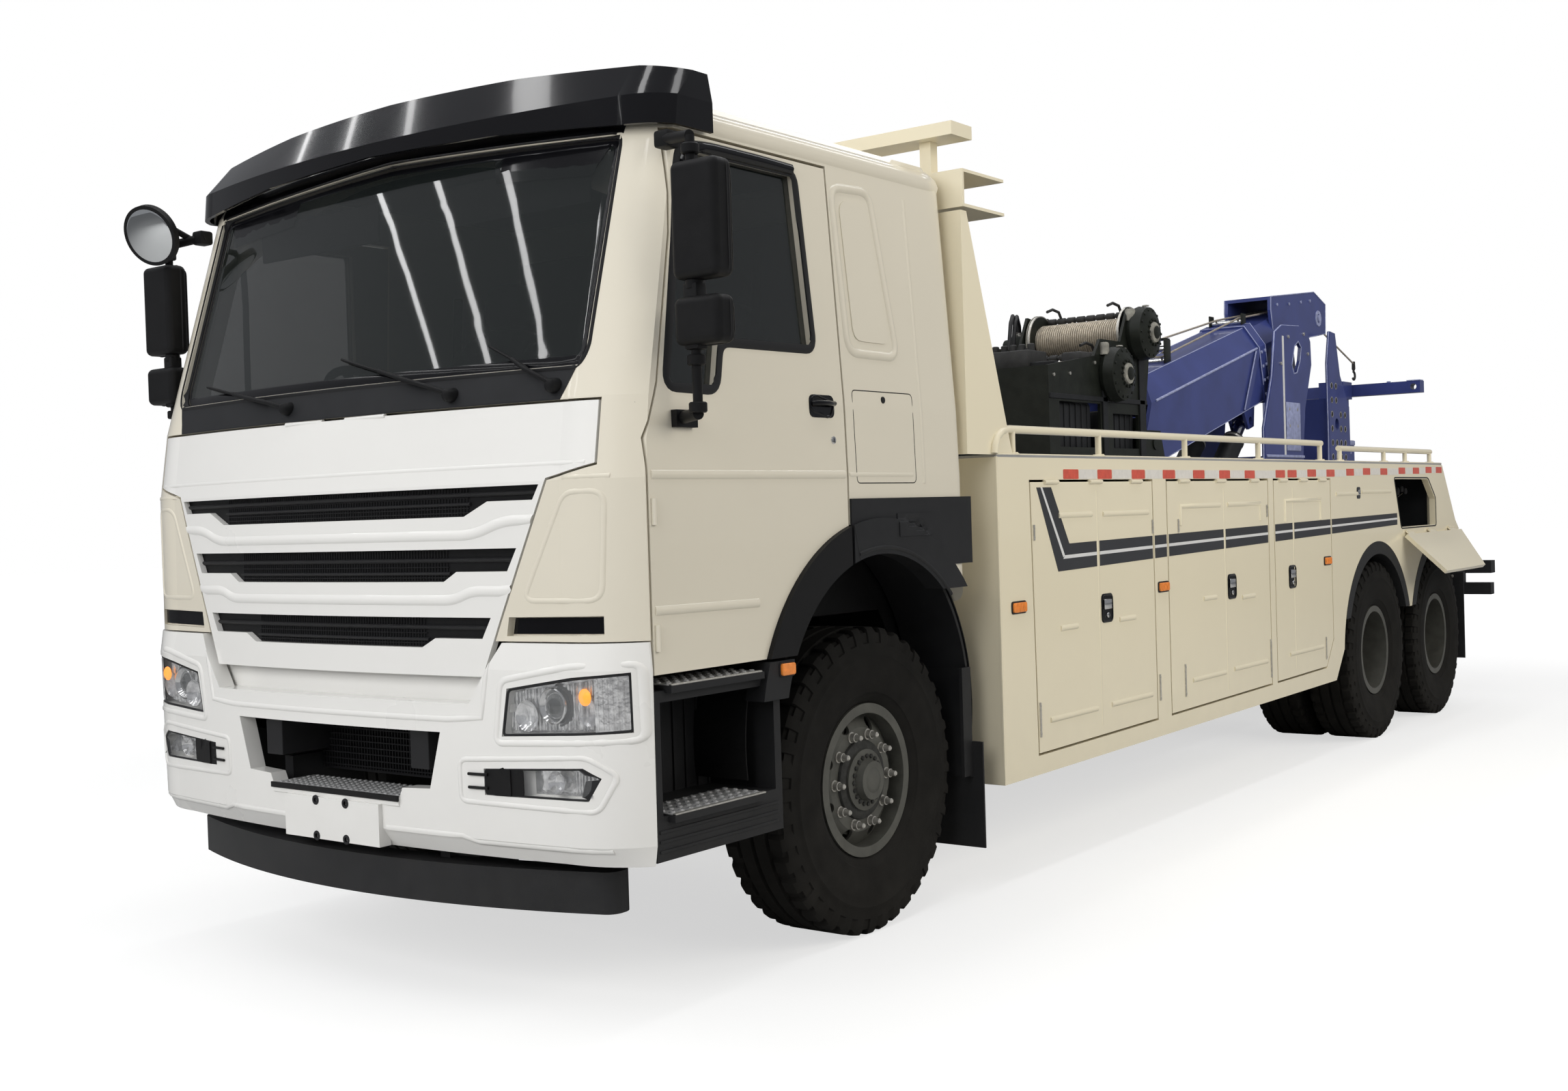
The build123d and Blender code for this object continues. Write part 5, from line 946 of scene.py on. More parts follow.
def grille_and_corners():
    panel_place = onto(["front_panel"], ("y", 0))
    tray_place = onto(["grille"], ("y", 0))
    slats = Piece("grille_slats", "front_flap", SEAL)
    mesh = Piece("grille_mesh", "front_flap", SEAL)
    lines = Piece("front_panel_lines", "front_flap", WHITE)
    for top_x, top_z, end_z, mid_top_x, mid_low_x, mid_z in GRILLE_OPENINGS:
        span = dense([(-(top_x - 6), (top_z + end_z) / 2), (top_x - 6, (top_z + end_z) / 2)], 60)
        slats.band(span, 16, 12, tray_place)
        low_span = dense([(-(mid_low_x + 8), end_z - 6), (mid_low_x + 8, end_z - 6)], 60)
        slats.band(low_span, 12, 10, tray_place)
        for x in range(int(-mid_low_x) + 4, int(mid_low_x), 13):
            mesh.band([(x, mid_z + 3), (x, top_z - 3)], 4, 5, tray_place)
        for z in (mid_z + 12, mid_z + 26, end_z + 14):
            mesh.band(dense([(-mid_low_x, z), (mid_low_x, z)], 80), 4, 5.5, tray_place)
        if top_z > 1300:
            for side in (1, -1):
                path = mirrored([(top_x + 2, end_z - 62), (mid_top_x + 62, end_z - 60),
                                 (mid_low_x + 40, mid_z - 58), (0, mid_z - 58)], side)
                lines.band(dense(rounded_line(path, 60), 50), 34, 6.5, panel_place)
    lines.band(dense([(-1090, 1716), (1090, 1716)], 60), 14, 1.6, panel_place)
    slats.done(50)
    mesh.done()
    lines.done(60)

    shell_place = onto(["cab_shell"], ("y", 0))
    for label, side in SIDES:
        # A dark gloss sheet laid in the recess between the bumper's top and the cab's corner: painted shade of the
        # recess
        strip = Piece(f"corner_recess_painted_shade_{label}", "truck", GLOSS_BLACK)
        strip.sheet(mirrored([(794, 1197), (1137, 1200), (1137, 1250), (803, 1246)], side), shell_place, 3, 50)
        strip.done(40)
        corner = Piece(f"corner_lines_{label}", "truck", CAB_SHADED_PAINT)
        frame_line = rounded(mirrored([(1015, 1628), (1150, 1628), (1136, 1300), (856, 1300)], side), 45, 5)
        corner.band(dense(frame_line, 60, True), 18, 3.0, shell_place, True)
        corner.band(dense(mirrored([(962, 1672), (1165, 1672)], side), 50), 16, 3.0, shell_place)
        corner.done(60)


grille_and_corners()


def bumper_and_lamps():
    bumper_place = onto(["bumper"], ("y", 0))
    lens_place = onto(["lamps"], ("y", 0))
    pressed = Piece("bumper_lines", "truck", WHITE)
    for side in (1, -1):
        pressed.band(dense(mirrored([(262, 565), (600, 565), (660, 548), (1150, 548)], side), 60), 18, 4,
                     bumper_place)
        pressed.loop(mirrored(grown(LAMP_OUTLINE, 34), side), 30, 4, 70, 22, 5, bumper_place)
        fog_frame = mirrored([(602, 676), (602, 806), (1088, 832), (1176, 778), (1118, 668)], side)
        pressed.loop(fog_frame, 26, 4, 70, 18, 4.5, bumper_place)
        pressed.band(dense(mirrored([(560, 930), (700, 940), (735, 1130)], side), 50), 20, 4, bumper_place)
    pressed.band(dense([(-560, 930), (560, 930)], 60), 20, 4, bumper_place)
    pressed.done(60)

    for label, side in SIDES:
        deep = shifted(lens_place, -40)
        bed = Piece(f"headlamp_reflector_{label}", "truck", REFLECTOR)
        inner = mirrored(grown(LAMP_OUTLINE, -7), side)
        bed.sheet(inner, deep, 3, 40)
        for x in range(790, 1206, 12):
            low, high = 895 + (x - 778) * 0.03, 1020 + (x - 800) * 0.14
            bed.band([(side * x, low + 4), (side * x, high - 2)], 11, 7 + 3 * math.sin(x * 0.35),
                     shifted(deep, 2))
        bed.sheet(mirrored([(1116, 908), (1116, 1068), (1203, 1076), (1203, 914)], side), lens_place, 1.5, 40)
        for x in range(1124, 1202, 13):
            bed.band([(side * x, 914), (side * x, 1066)], 9, 3, lens_place)
        for cx, cz, radius, reach in ((868, 950, 48, 32), (1082, 968, 46, 14)):
            _, cy, _ = deep(side * cx, cz, 0)
            bed.lathe([(-reach * d, radius * r) for d, r in BOWL], (side * cx, cy, cz), "y", 36)
        bed.done(30)
        bowl = Piece(f"headlamp_projector_{label}", "truck", CHROME)
        cx, cz = 958, 982
        _, cy, _ = deep(side * cx, cz, 0)
        middle = (side * cx, cy, cz)
        bowl.lathe([(-4, 58), (-25, 56), (-27, 52), (-16, 43), (-10, 39), (-10, 0)], middle, "y", 40)
        bowl.done(40)
        glassy = Piece(f"headlamp_bulbs_{label}", "truck", GLASS)
        glassy.lathe([(-12, 38), (-20, 32), (-26, 20), (-28, 0)], middle, "y", 32)
        glassy.done(60)
        amber = Piece(f"turn_bulb_{label}", "truck", AMBER_GLOW)
        _, ty, _ = deep(side * 1082, 1012, 0)
        amber.lathe([(-24, 0), (-24, 16), (-30, 26), (-36, 18), (-38, 0)], (side * 1082, ty, 1012), "y", 24)
        amber.done(60)
        dark = Piece(f"headlamp_divider_{label}", "truck", SEAL)
        arc = [(side * (958 + 68 * math.cos(math.radians(a))), 982 + 64 * math.sin(math.radians(a)))
               for a in range(-70, 81, 10)]
        dark.band(arc, 9, 22, deep)
        seal = dense(rounded(mirrored(grown(LAMP_OUTLINE, -5), side), 14, 3), 60, True)
        dark.band(seal, 9, 4, lens_place, True)
        dark.loop(mirrored(grown(FOG_OUTLINE, -4), side), 10, 3, 60, 7, 4, lens_place)
        dark.done(50)
        fog = Piece(f"fog_reflector_{label}", "truck", REFLECTOR)
        dish = mirrored([(856, 706), (856, 784), (1070, 793), (1118, 768), (1084, 706)], side)
        fog.sheet(dish, bumper_place, 3, 40)
        _, fy, _ = bumper_place(side * 960, 748, 0)
        fog.lathe([(-34, 36), (-30, 34), (-14, 24), (-6, 8), (-6, 0)], (side * 960, fy, 748), "y", 30)
        for x in range(1010, 1100, 11):
            fog.band([(side * x, 712), (side * x, 780)], 10, 9, bumper_place)
        fog.done(30)
        block = Piece(f"fog_black_{label}", "truck", PLASTIC)
        block.sheet(rounded(mirrored([(705, 705), (705, 779), (852, 786), (852, 705)], side), 8, 2),
                    lens_place, 4, 50)
        bar = rounded(mirrored([(740, 700), (740, 786), (806, 790), (806, 700)], side), 8, 2)
        block.sheet(bar, shifted(lens_place, 3), 5, 50)
        for z in (722, 764):
            points = [bumper_place(side * x, z, 5) for x in (640, 660, 680, 695)]
            block.tube(points + [lens_place(side * 715, z, 6)], 5, 8)
        block.done(bevel=1.5)


bumper_and_lamps()


def mouth_and_steps():
    grommets = Piece("pad_grommets", "truck", SEAL)
    for x in (-77.5, 77.5):
        for z in (510, 630):
            grommets.lathe([(-1520, 8), (-1520, 16), (-1517, 17), (-1512, 8), (-1520, 8)], (x, 0, z), "y", 24)
            grommets.lathe([(-1509, 0), (-1509, 9), (-1508, 9), (-1508, 0)], (x, 0, z), "y", 16)
    grommets.done(40)
    mouth = Piece("mouth_lining", "truck", SEAL)
    mouth.box((-560, 560), (-1240, -1234), (680, 960), 1)
    for x in range(-540, 541, 15):
        mouth.box((x - 2, x + 2), (-1250, -1240), (690, 950))
    for z in range(700, 951, 22):
        mouth.box((-550, 550), (-1254, -1248), (z - 2, z + 2))
    for side in (1, -1):
        mouth.box(across(side, 336, 424), (-1454, -1240), (756, 964), 3)
    mouth.done()
    tread = Piece("front_tread", "truck", PLATE)
    tread.box((-326, 326), (-1500, -1332), (667, 671), 1)
    for i in range(22):
        for j in range(6):
            x, y = -305 + i * 29 + (j % 2) * 14, -1485 + j * 28
            if abs(x) < 318:
                tread.lathe([(0, 7), (2, 7), (3.5, 5), (3.5, 3.2), (0.5, 3)], (x, y, 671), "z", 10)
    tread.done(35)
    lip = Piece("front_tread_lip", "truck", PLASTIC)
    lip.box((-332, 332), (-1511, -1503), (654, 673), 2)
    lip.done()
    for label, side in SIDES:
        step = Piece(f"step_treads_{label}", "truck", PLATE)
        for z in (642, 1034):
            step.box(across(side, 1080, 1258), (-1219, -771), (z - 1, z + 3), 1)
            for i in range(11):
                for j in range(4):
                    x, y = 1102 + j * 42, -1200 + i * 41
                    step.lathe([(0, 11), (3, 10), (5, 7), (5, 5), (0, 5)], (side * x, y, z + 3), "z", 10)
        step.done(35)
        nosing = Piece(f"step_nosings_{label}", "truck", NUT)
        for z in (642, 1034):
            nosing.box(across(side, 1244, 1260), (-1219, -771), (z - 12, z + 5), 3)
        nosing.done(bevel=1.0)
        ribs = Piece(f"step_ribs_{label}", "truck", GREY_PLASTIC)
        for z in (530, 560, 590):
            ribs.box(across(side, 1234, 1240), (-1270, -680), (z, z + 10), 2)
        for y in (-1240, -1180, -1120, -1060, -1000, -940, -880, -820, -760, -705):
            ribs.box(across(side, 962, 968), (y - 4, y + 4), (645, 980))
        ribs.done(bevel=1.0)


mouth_and_steps()


def wheel_houses():
    for label, side in SIDES:
        house = Piece(f"wheel_house_lining_{label}", "truck", PLASTIC)
        inner, spots, outer = ([arch(r, a) for a in range(-8, 189, 4)] for r in (640, 722, 727))
        for k in range(len(outer) - 1):
            house.prism([spots[k], spots[k + 1], outer[k + 1], outer[k]], "x", *across(side, 886, 1180))
        house.done()
        wall = Piece(f"wheel_house_wall_{label}", "truck", PLASTIC)
        thin = across(side, 880, 886)
        for k in range(len(outer) - 1):
            wall.prism([inner[k], inner[k + 1], outer[k + 1], outer[k]], "x", *thin)
        wall.prism([arch(642, a) for a in range(36, 145, 6)], "x", *thin)
        wall.box(across(side, 440, 880), (690, 698), (800, 1230), 2)
        wall.box(across(side, 440, 880), (-640, 690), (1150, 1158), 2)
        wall.done()


wheel_houses()


def windscreen():
    screen_place = onto(["windscreen"], ("y", 0))
    half = [(1030, 2012), (1052, 2060), (1036, 2740), (0, 2792)]
    outline = half + [(-x, z) for x, z in reversed(half) if x > 0]
    border = Piece("screen_border", "truck", GLOSS_BLACK)
    border.loop(grown(outline, -20), 40, 4, 50, 34, 1.6, screen_place)
    border.done(60)
    seal = Piece("screen_seal", "truck", SEAL)
    seal.loop(grown(outline, 5), 40, 4, 50, 20, 5, onto(["cab_shell", "windscreen", "cab_trim"], ("y", 0)))
    seal.done(60)
    header = Piece("screen_header", "truck", GLOSS_BLACK)
    header.band(dense([(-1050, 2772), (-540, 2806), (0, 2824), (540, 2806), (1050, 2772)], 60), 62, 4,
                onto(["cab_shell", "windscreen"], ("y", 0)))
    header.done(60)
    wiper_place = onto(["windscreen", "cab_trim", "cab_shell"], ("y", 0))
    wipers = Piece("wipers", "truck", PLASTIC)
    for px, pz, tx, tz in ((555, 1948, -26, 2105), (-256, 1955, -863, 2072), (960, 1952, 665, 2092)):

        def spot(t, lift):
            return wiper_place(px + (tx - px) * t, pz + (tz - pz) * t, lift)

        wipers.lathe([(-34, 0), (-34, 14), (-28, 20), (0, 24), (10, 24)], wiper_place(px, pz, 0), "y", 20)
        wipers.tube([spot(0, 26), spot(0.15, 34), spot(0.35, 34), spot(0.62, 26)], 8, 8)
        wipers.tube([spot(t, 22) for t in (0.3, 0.45, 0.6, 0.8, 0.98)], 5, 6)
        wipers.tube([spot(t, 8) for t in (0.22, 0.35, 0.5, 0.65, 0.8, 0.9, 1.0)], 5, 6)
        for t in (0.25, 0.45, 0.6, 0.8, 0.97):
            wipers.tube([spot(t, 8), spot(t, 22)], 4, 6)
    wipers.done(50)


windscreen()


# Sides of the cab

WINDOW_OUTLINE = [(-1162, 1952), (-942, 1952), (-905, 2108), (-400, 2112), (-430, 2690), (-1002, 2690),
                  (-1022, 2640), (-1060, 2405)]
MIRRORS = [(1388.0, -1165.0, 2425.0, 178.0, 92.0, 352.0), (1388.0, -1165.0, 2125.0, 178.0, 88.0, 145.0)]


def cab_sides():
    for label, side in SIDES:
        door = f"cab_door_{label}"
        door_place = onto([f"door_{label}"], ("x", side))
        pane_place = onto([f"door_glass_{label}", f"door_{label}"], ("x", side))
        shell_place = onto(["cab_shell"], ("x", side))
        rubber = Piece(f"window_rubber_{label}", door, SEAL)
        rubber.loop(grown(WINDOW_OUTLINE, 16), 46, 5, 50, 40, 7, door_place)
        rubber.band([(-925, 2100), (-932, 2260), (-938, 2450), (-944, 2695)], 30, 6, pane_place)
        rubber.done(60)
        visor = Piece(f"window_visor_{label}", door, GLOSS_BLACK)
        line = [(-1058, 2360), (-1040, 2500), (-1012, 2640), (-985, 2700), (-880, 2712), (-600, 2712),
                (-440, 2708)]
        visor.band(dense(rounded_line(line, 60), 50), 46, 20, door_place)
        visor.done(60)
        pressed = Piece(f"door_pressings_{label}", door, CAB_SHADED_PAINT)
        pressed.band(dense([(-1266, 1671), (-250, 1671)], 60), 30, 6, door_place)
        pressed.band(dense([(-1266, 1262), (-760, 1256)], 60), 30, 6, door_place)
        pressed.done(60)
        handle = Piece(f"door_handle_{label}", door, GLOSS_BLACK)
        cup = rounded(rectangle(-442, -297, 1866, 1944), 26, 5)
        handle.sheet(cup, door_place, 2, 60)
        handle.loop(grown(cup[::6], 0), 24, 5, 40, 12, 6, door_place)
        ends = [door_place(-428, 1912, 6), door_place(-420, 1913, 20), door_place(-370, 1914, 24),
                door_place(-320, 1913, 20), door_place(-312, 1912, 6)]
        handle.tube(ends, 9, 10)
        handle.done(50)
        lock = Piece(f"door_lock_{label}", door, CHROME)
        keyhole = kx, ky, kz = door_place(-310, 1790, 0)
        lock.lathe([(side * d, r) for d, r in ((-1, 0), (-1, 14), (3, 13), (4, 10), (4, 0))], keyhole, "x", 20)
        lock.done(40)
        slot_line = Piece(f"door_lock_slot_{label}", door, SEAL)
        slot_line.box(tuple(sorted((kx + side * 3, kx + side * 5))), (ky - 1.5, ky + 1.5), (kz - 7, kz + 7))
        slot_line.done()
        hinges = Piece(f"door_hinges_{label}", door, CAB_SHADED_PAINT)
        for z in (1180, 1560):
            hx, hy, hz = door_place(-1262, z, 4)
            hinges.tube([(hx, hy, hz - 40), (hx, hy, hz + 40)], 9, 10)
        hinges.done(50)

        wall = Piece(f"cab_wall_lines_{label}", "truck", CAB_SHADED_PAINT)
        wall.loop([(-208, 2684), (34, 2697), (133, 2099), (-182, 2102)], 60, 6, 60, 34, 9, shell_place)
        wall.sheet(rounded([(-166, 2640), (6, 2652), (88, 2144), (-142, 2146)], 50, 5), shell_place, 4, 60)
        wall.band(dense([(-222, 1671), (190, 1671)], 60), 16, 2.4, shell_place)
        wall.band(dense([(268, 1640), (268, 2700)], 80), 22, 3, shell_place)
        wall.done(60)
        rail = Piece(f"roof_side_rail_{label}", "truck", CAB_SHADED_PAINT)
        rail.band(dense([(-1010, 2800), (-500, 2802), (530, 2802)], 60), 84, 22, shell_place)
        rail.done(60)
        flap = Piece(f"service_flap_{label}", "truck", SEAM)
        flap.loop([(-176, 1641), (211, 1641), (211, 1969), (-180, 1969)], 20, 4, 60, 5, 0.5, shell_place)
        flap.band([(-1350, 1898), (-1290, 1889)], 5, 0.5, shell_place)
        flap.done()
        latch = Piece(f"service_flap_latch_{label}", "truck", SEAL)
        middle = shell_place(15, 1940, 0)
        latch.lathe([(side * d, r) for d, r in ((-1, 0), (-1, 13), (3, 12), (4, 9), (4, 0))], middle, "x", 16)
        latch.done(40)
        cover = Piece(f"flare_cover_{label}", "truck", GREY_PLASTIC)
        cover.sheet([(60, 1446), (60, 1530), (300, 1530), (300, 1446)],
                    onto(["cab_trim", "cab_shell"], ("x", side)), 3, 20)
        cover.done(30)
        seam = Piece(f"flare_lines_{label}", "truck", SEAL)
        seam.band([arch(r, 104) for r in (616, 738)], 7, 1.5, flat_side(side, 1263))
        seam.band([arch(634, a) for a in range(44, 105, 3)], 16, 5, flat_side(side, 1263))
        seam.done(50)
        lamp_base = Piece(f"flare_lamp_base_{label}", "truck", SEAL)
        lamp = Piece(f"flare_lamp_{label}", "truck", AMBER)
        outer = rounded(rectangle(-687, -604, 1006, 1056), 12, 3)
        lamp_base.sheet(outer, flat_side(side, 1262), 4, 400)
        lamp.sheet(rounded(rectangle(-682, -609, 1011, 1051), 10, 3), flat_side(side, 1262), 13, 400)
        lamp_base.done(bevel=1)
        lamp.done(40, bevel=3)

        glass = Piece(f"mirror_faces_{label}", door, MIRROR)
        shells = Piece(f"mirror_seams_{label}", door, SEAL)
        for x, y, z, sx, sy, sz in MIRRORS:
            half_x, half_z, rear_y = sx / 2 - 15, sz / 2 - 15, y + sy / 2
            form = rounded(mirrored(rectangle(x - half_x, x + half_x, z - half_z, z + half_z), side), 26, 5)
            glass.prism(form, "y", rear_y - 1, rear_y + 1.5)
            shells.band(form, 10, 5, lambda a, b, lift: (a, rear_y + lift, b), True)
            edge = rounded(mirrored(rectangle(x - sx / 2, x + sx / 2, z - sz / 2, z + sz / 2), side), 34, 5)
            shells.tube([(a, y + 14, b) for a, b in edge] + [(edge[0][0], y + 14, edge[0][1])], 3.0, 6)
        glass.done(30)
        shells.done(60)
        arms = Piece(f"mirror_joints_{label}", door, PLASTIC)
        for z in (1868, 2010, 2235, 2640):
            arms.lathe([(-16, 0), (-16, 24), (-12, 28), (12, 28), (16, 24), (16, 0)], (side * 1352, -1165, z),
                       "z", 20)
        arms.box(across(side, 1325, 1380), (-1190, -1140), (2040, 2240), 8)
        arms.box(across(side, 1180, 1240), (-1135, -1075), (2672, 2726), 10)
        arms.done(40)
    disc = Piece("front_mirror_face", "cab_door_right", MIRROR)
    n = Vector((-0.25, 0.85, 0.35)).normalized()
    side_way = n.orthogonal().normalized()
    up_way = n.cross(side_way)
    middle = Vector((-1300, -1280, 2700)) - n * 3

    def circle(radius, centre):
        turns = [2 * math.pi * k / 40 for k in range(40)]
        return [centre + radius * (math.cos(a) * side_way + math.sin(a) * up_way) for a in turns]

    disc.hull(circle(98, middle), circle(104, middle + n * 3.2))
    disc.done(30)


cab_sides()


# Inside the cab

def cushion(piece, centre, size, power=5.0, steps=12, lean=0.0, welts=()):
    """A stuffed block: a swollen box with rounded corners, leaning back by an angle in degrees."""
    cx, cy, cz = centre
    hx, hy, hz = (s / 2 for s in size)
    made = {}
    turn = math.radians(lean)

    def put(p):
        key = tuple(round(c, 4) for c in p)
        if key in made:
            return made[key]
        norm = sum(abs(c) ** power for c in p) ** (1 / power)
        q = [c / norm for c in p]
        swell = 1 + 0.05 * (1 - max(abs(q[0]), abs(q[1]) * 0.8))
        x, y, z = q[0] * hx, q[1] * hy * swell, q[2] * hz * swell
        for at_x, depth, wide in welts:
            d = (x - at_x) / wide
            y -= (1 if q[1] > 0 else -1) * depth * math.exp(-d * d) * 0.3
            z -= (1 if q[2] > 0 else -1) * depth * math.exp(-d * d) * (1 if hz < hy else 0.2)
        y, z = y * math.cos(turn) + z * math.sin(turn), z * math.cos(turn) - y * math.sin(turn)
        made[key] = piece.bm.verts.new((cx + x, cy + y, cz + z))
        return made[key]

    grid = [-1 + 2 * i / steps for i in range(steps + 1)]
    for axis in range(3):
        for sign in (-1, 1):
            for i in range(steps):
                for j in range(steps):
                    corners = []
                    for u, v in ((i, j), (i + 1, j), (i + 1, j + 1), (i, j + 1)):
                        p = [grid[u], grid[v]]
                        p.insert(axis, sign)
                        corners.append(put(p))
                    if len(set(corners)) == 4:
                        piece.bm.faces.new(corners)
    piece.take(list(made.values()))


def cab_inside():
    soft = Piece("seat_cushions", "truck", CLOTH)
    bases = Piece("seat_bases", "truck", PLASTIC)
    buckles = Piece("seat_buckles", "truck", RED_PLASTIC)
    belts = Piece("seat_belts", "truck", SEAL)
    for x in (-560, 560):
        cushion(soft, (x, -512, 1632), (500, 520, 130), 4.5, 14, 0, ((-150, 26, 16), (150, 26, 16)))
        cushion(soft, (x - 225, -512, 1650), (84, 500, 130), 3.5, 8)
        cushion(soft, (x + 225, -512, 1650), (84, 500, 130), 3.5, 8)
        cushion(soft, (x, -176, 2010), (480, 132, 660), 4.5, 14, 12, ((-145, 40, 16), (145, 40, 16)))
        cushion(soft, (x - 215, -196, 1985), (88, 150, 560), 3.5, 8, 12)
        cushion(soft, (x + 215, -196, 1985), (88, 150, 560), 3.5, 8, 12)
        cushion(soft, (x, -84, 2442), (262, 96, 190), 3.2, 10, 6)
        bases.box((x - 185, x + 185), (-695, -285), (1218, 1400), 14)
        bases.box((x - 205, x + 205), (-720, -270), (1500, 1560), 12)
        for i in range(5):
            z = 1408 + i * 19
            bases.box((x - 170 + (i % 2) * 8, x + 170 - (i % 2) * 8), (-670, -300), (z, z + 13), 5)
        bases.tube([(x - 240, -560, 1590), (x - 262, -500, 1600), (x - 262, -330, 1640)], 8, 8)
        for dx in (-60, 60):
            bases.tube([(x + dx, -100, 2330), (x + dx, -92, 2390)], 7, 8)
        s = 1 if x > 0 else -1
        belts.band([(2500, 0), (2250, 0), (1950, 0), (1700, 0)], 46, 2,
                   lambda a, b, lift: (x + s * (250 - 0.02 * (2500 - a)), -140 - 0.1 * (2500 - a) + b, a + lift))
        buckles.box(tuple(sorted((x - s * 262, x - s * 246))), (-330, -300), (1700, 1742), 3)
    cushion(soft, (0, 269, 1640), (2330, 470, 130), 7, 16)
    cushion(soft, (-900, 300, 1735), (380, 330, 90), 3, 10)
    bases.box((-818, 818), (62, 498), (1218, 1574), 10)
    seat_object = soft.done(70)
    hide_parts("seats")
    bases.done(35)
    buckles.done(bevel=1)
    belts.done(50)

    dash = Piece("dash_details", "truck", PLASTIC)
    dash.hull([(-760, -1110, 1876), (-360, -1110, 1876), (-360, -960, 1836), (-760, -960, 1836)],
              [(-740, -1090, 1956), (-380, -1090, 1956), (-370, -985, 1925), (-750, -985, 1925)])
    for x in (-950, -230, 140, 420, 960):
        dash.box((x - 60, x + 60), (-938, -915), (1730, 1790), 6)
        for i in range(5):
            dash.box((x - 54, x + 54), (-915, -908), (1736 + i * 11, 1740 + i * 11))
    dash.box((-240, 220), (-935, -905), (1560, 1700), 10)
    dash.done(bevel=1.5)
    dials = Piece("dash_dials", "truck", PALE_DIAL)
    for x, r in ((-640, 46), (-480, 46), (-560, 30)):
        dials.lathe([(0, r), (3, r), (3, 0)], (x, -980, 1888), "y", 24)
    dials.done(30)
    radio = Piece("dash_radio", "truck", GLOSS_BLACK)
    radio.box((-110, 100), (-906, -900), (1620, 1680), 3)
    for i in range(7):
        radio.box((-220 + i * 62, -176 + i * 62), (-906, -898), (1572, 1594), 2)
    radio.done(bevel=1)
    for label, side in SIDES:
        blind = Piece(f"sun_blind_{label}", "truck", TRIM)
        blind.box(across(side, 180, 860), (-1085, -1070), (2560, 2700), 6)
        blind.done(bevel=1)
    lever = Piece("gear_lever", "truck", SEAL)
    lever.tube([(-120, -640, 1220), (-130, -700, 1500), (-140, -730, 1660)], 11, 10)
    lever.lathe([(-30, 0), (-28, 22), (0, 30), (26, 22), (34, 0)], (-141, -732, 1675), "z", 16)
    lever.done(60)
    head = Piece("cab_headlining", "truck", TRIM)
    head.box((-1000, 1000), (-900, 420), (2868, 2874), 2)
    head.box((-1090, 1090), (500, 508), (1740, 2740), 2)
    head.done()


cab_inside()


# Winches, ropes and boom

BOOM_TURN = math.radians(14.0)


def on_boom(x, u, n):
    """A point in the boom's own frame: u along it, n square to it above the tube's middle."""
    c, s = math.cos(BOOM_TURN), math.sin(BOOM_TURN)
    return (x, 4480 + u * c - (n + 120) * s, 1900 + u * s + (n + 120) * c)


def line_points(a, b, count):
    return [tuple(a[k] + (b[k] - a[k]) * i / (count - 1) for k in range(3)) for i in range(count)]


DRUMS = (("lower", 3760.0, 2280.0), ("upper", 4130.0, 2540.0))
HEAD_EDGE = [(6785, 3010), (7700, 3122), (7957, 3047), (7945, 2818), (7746, 2789), (7600, 2770), (7100, 2640),
             (6832, 2700), (6778, 2913), (6785, 3010)]
ROPE_TURNS = 39
SHEAVE_Y, SHEAVE_Z = 7790.0, 2925.0
# y, z and radius of the rollers that the ropes run over
ROPE_ROLLERS = ((5066, 2526, 26), (5066, 2452, 20), (6388, 2803, 19))
TOWER_EDGE = [(6201, 1200), (6229, 2036), (6411, 2408), (6486, 2722), (6620, 2776), (6977, 2795), (7120, 2771),
              (7192, 2694)]
TOWER_HOLE = [(6830, 2440), (6790, 2500), (6850, 2640), (6930, 2680), (6990, 2640), (6960, 2540), (6890, 2450),
              (6830, 2440)]
TOWER_BOLTS = [(6300, 1300), (6300, 1500), (6300, 1700), (6900, 1300), (6900, 1500), (6900, 1700), (6560, 2500),
               (6720, 2700), (7040, 2740), (7120, 2600), (6700, 2060), (6860, 2060), (6700, 2180), (6860, 2180)]
TAIL_EDGE = [(7702, 1180), (7736, 2003), (7730, 2571), (7794, 2818), (7911, 2809), (8007, 2487), (8209, 2246),
             (8228, 1190)]
TAIL_HOLES = [(y, z) for z in range(1300, 2501, 110) for y in (7800, 7900, 8000, 8100)
              if (y < 8000 or z < 2250) and not (y == 7900 and abs(z - 2105) < 90)]


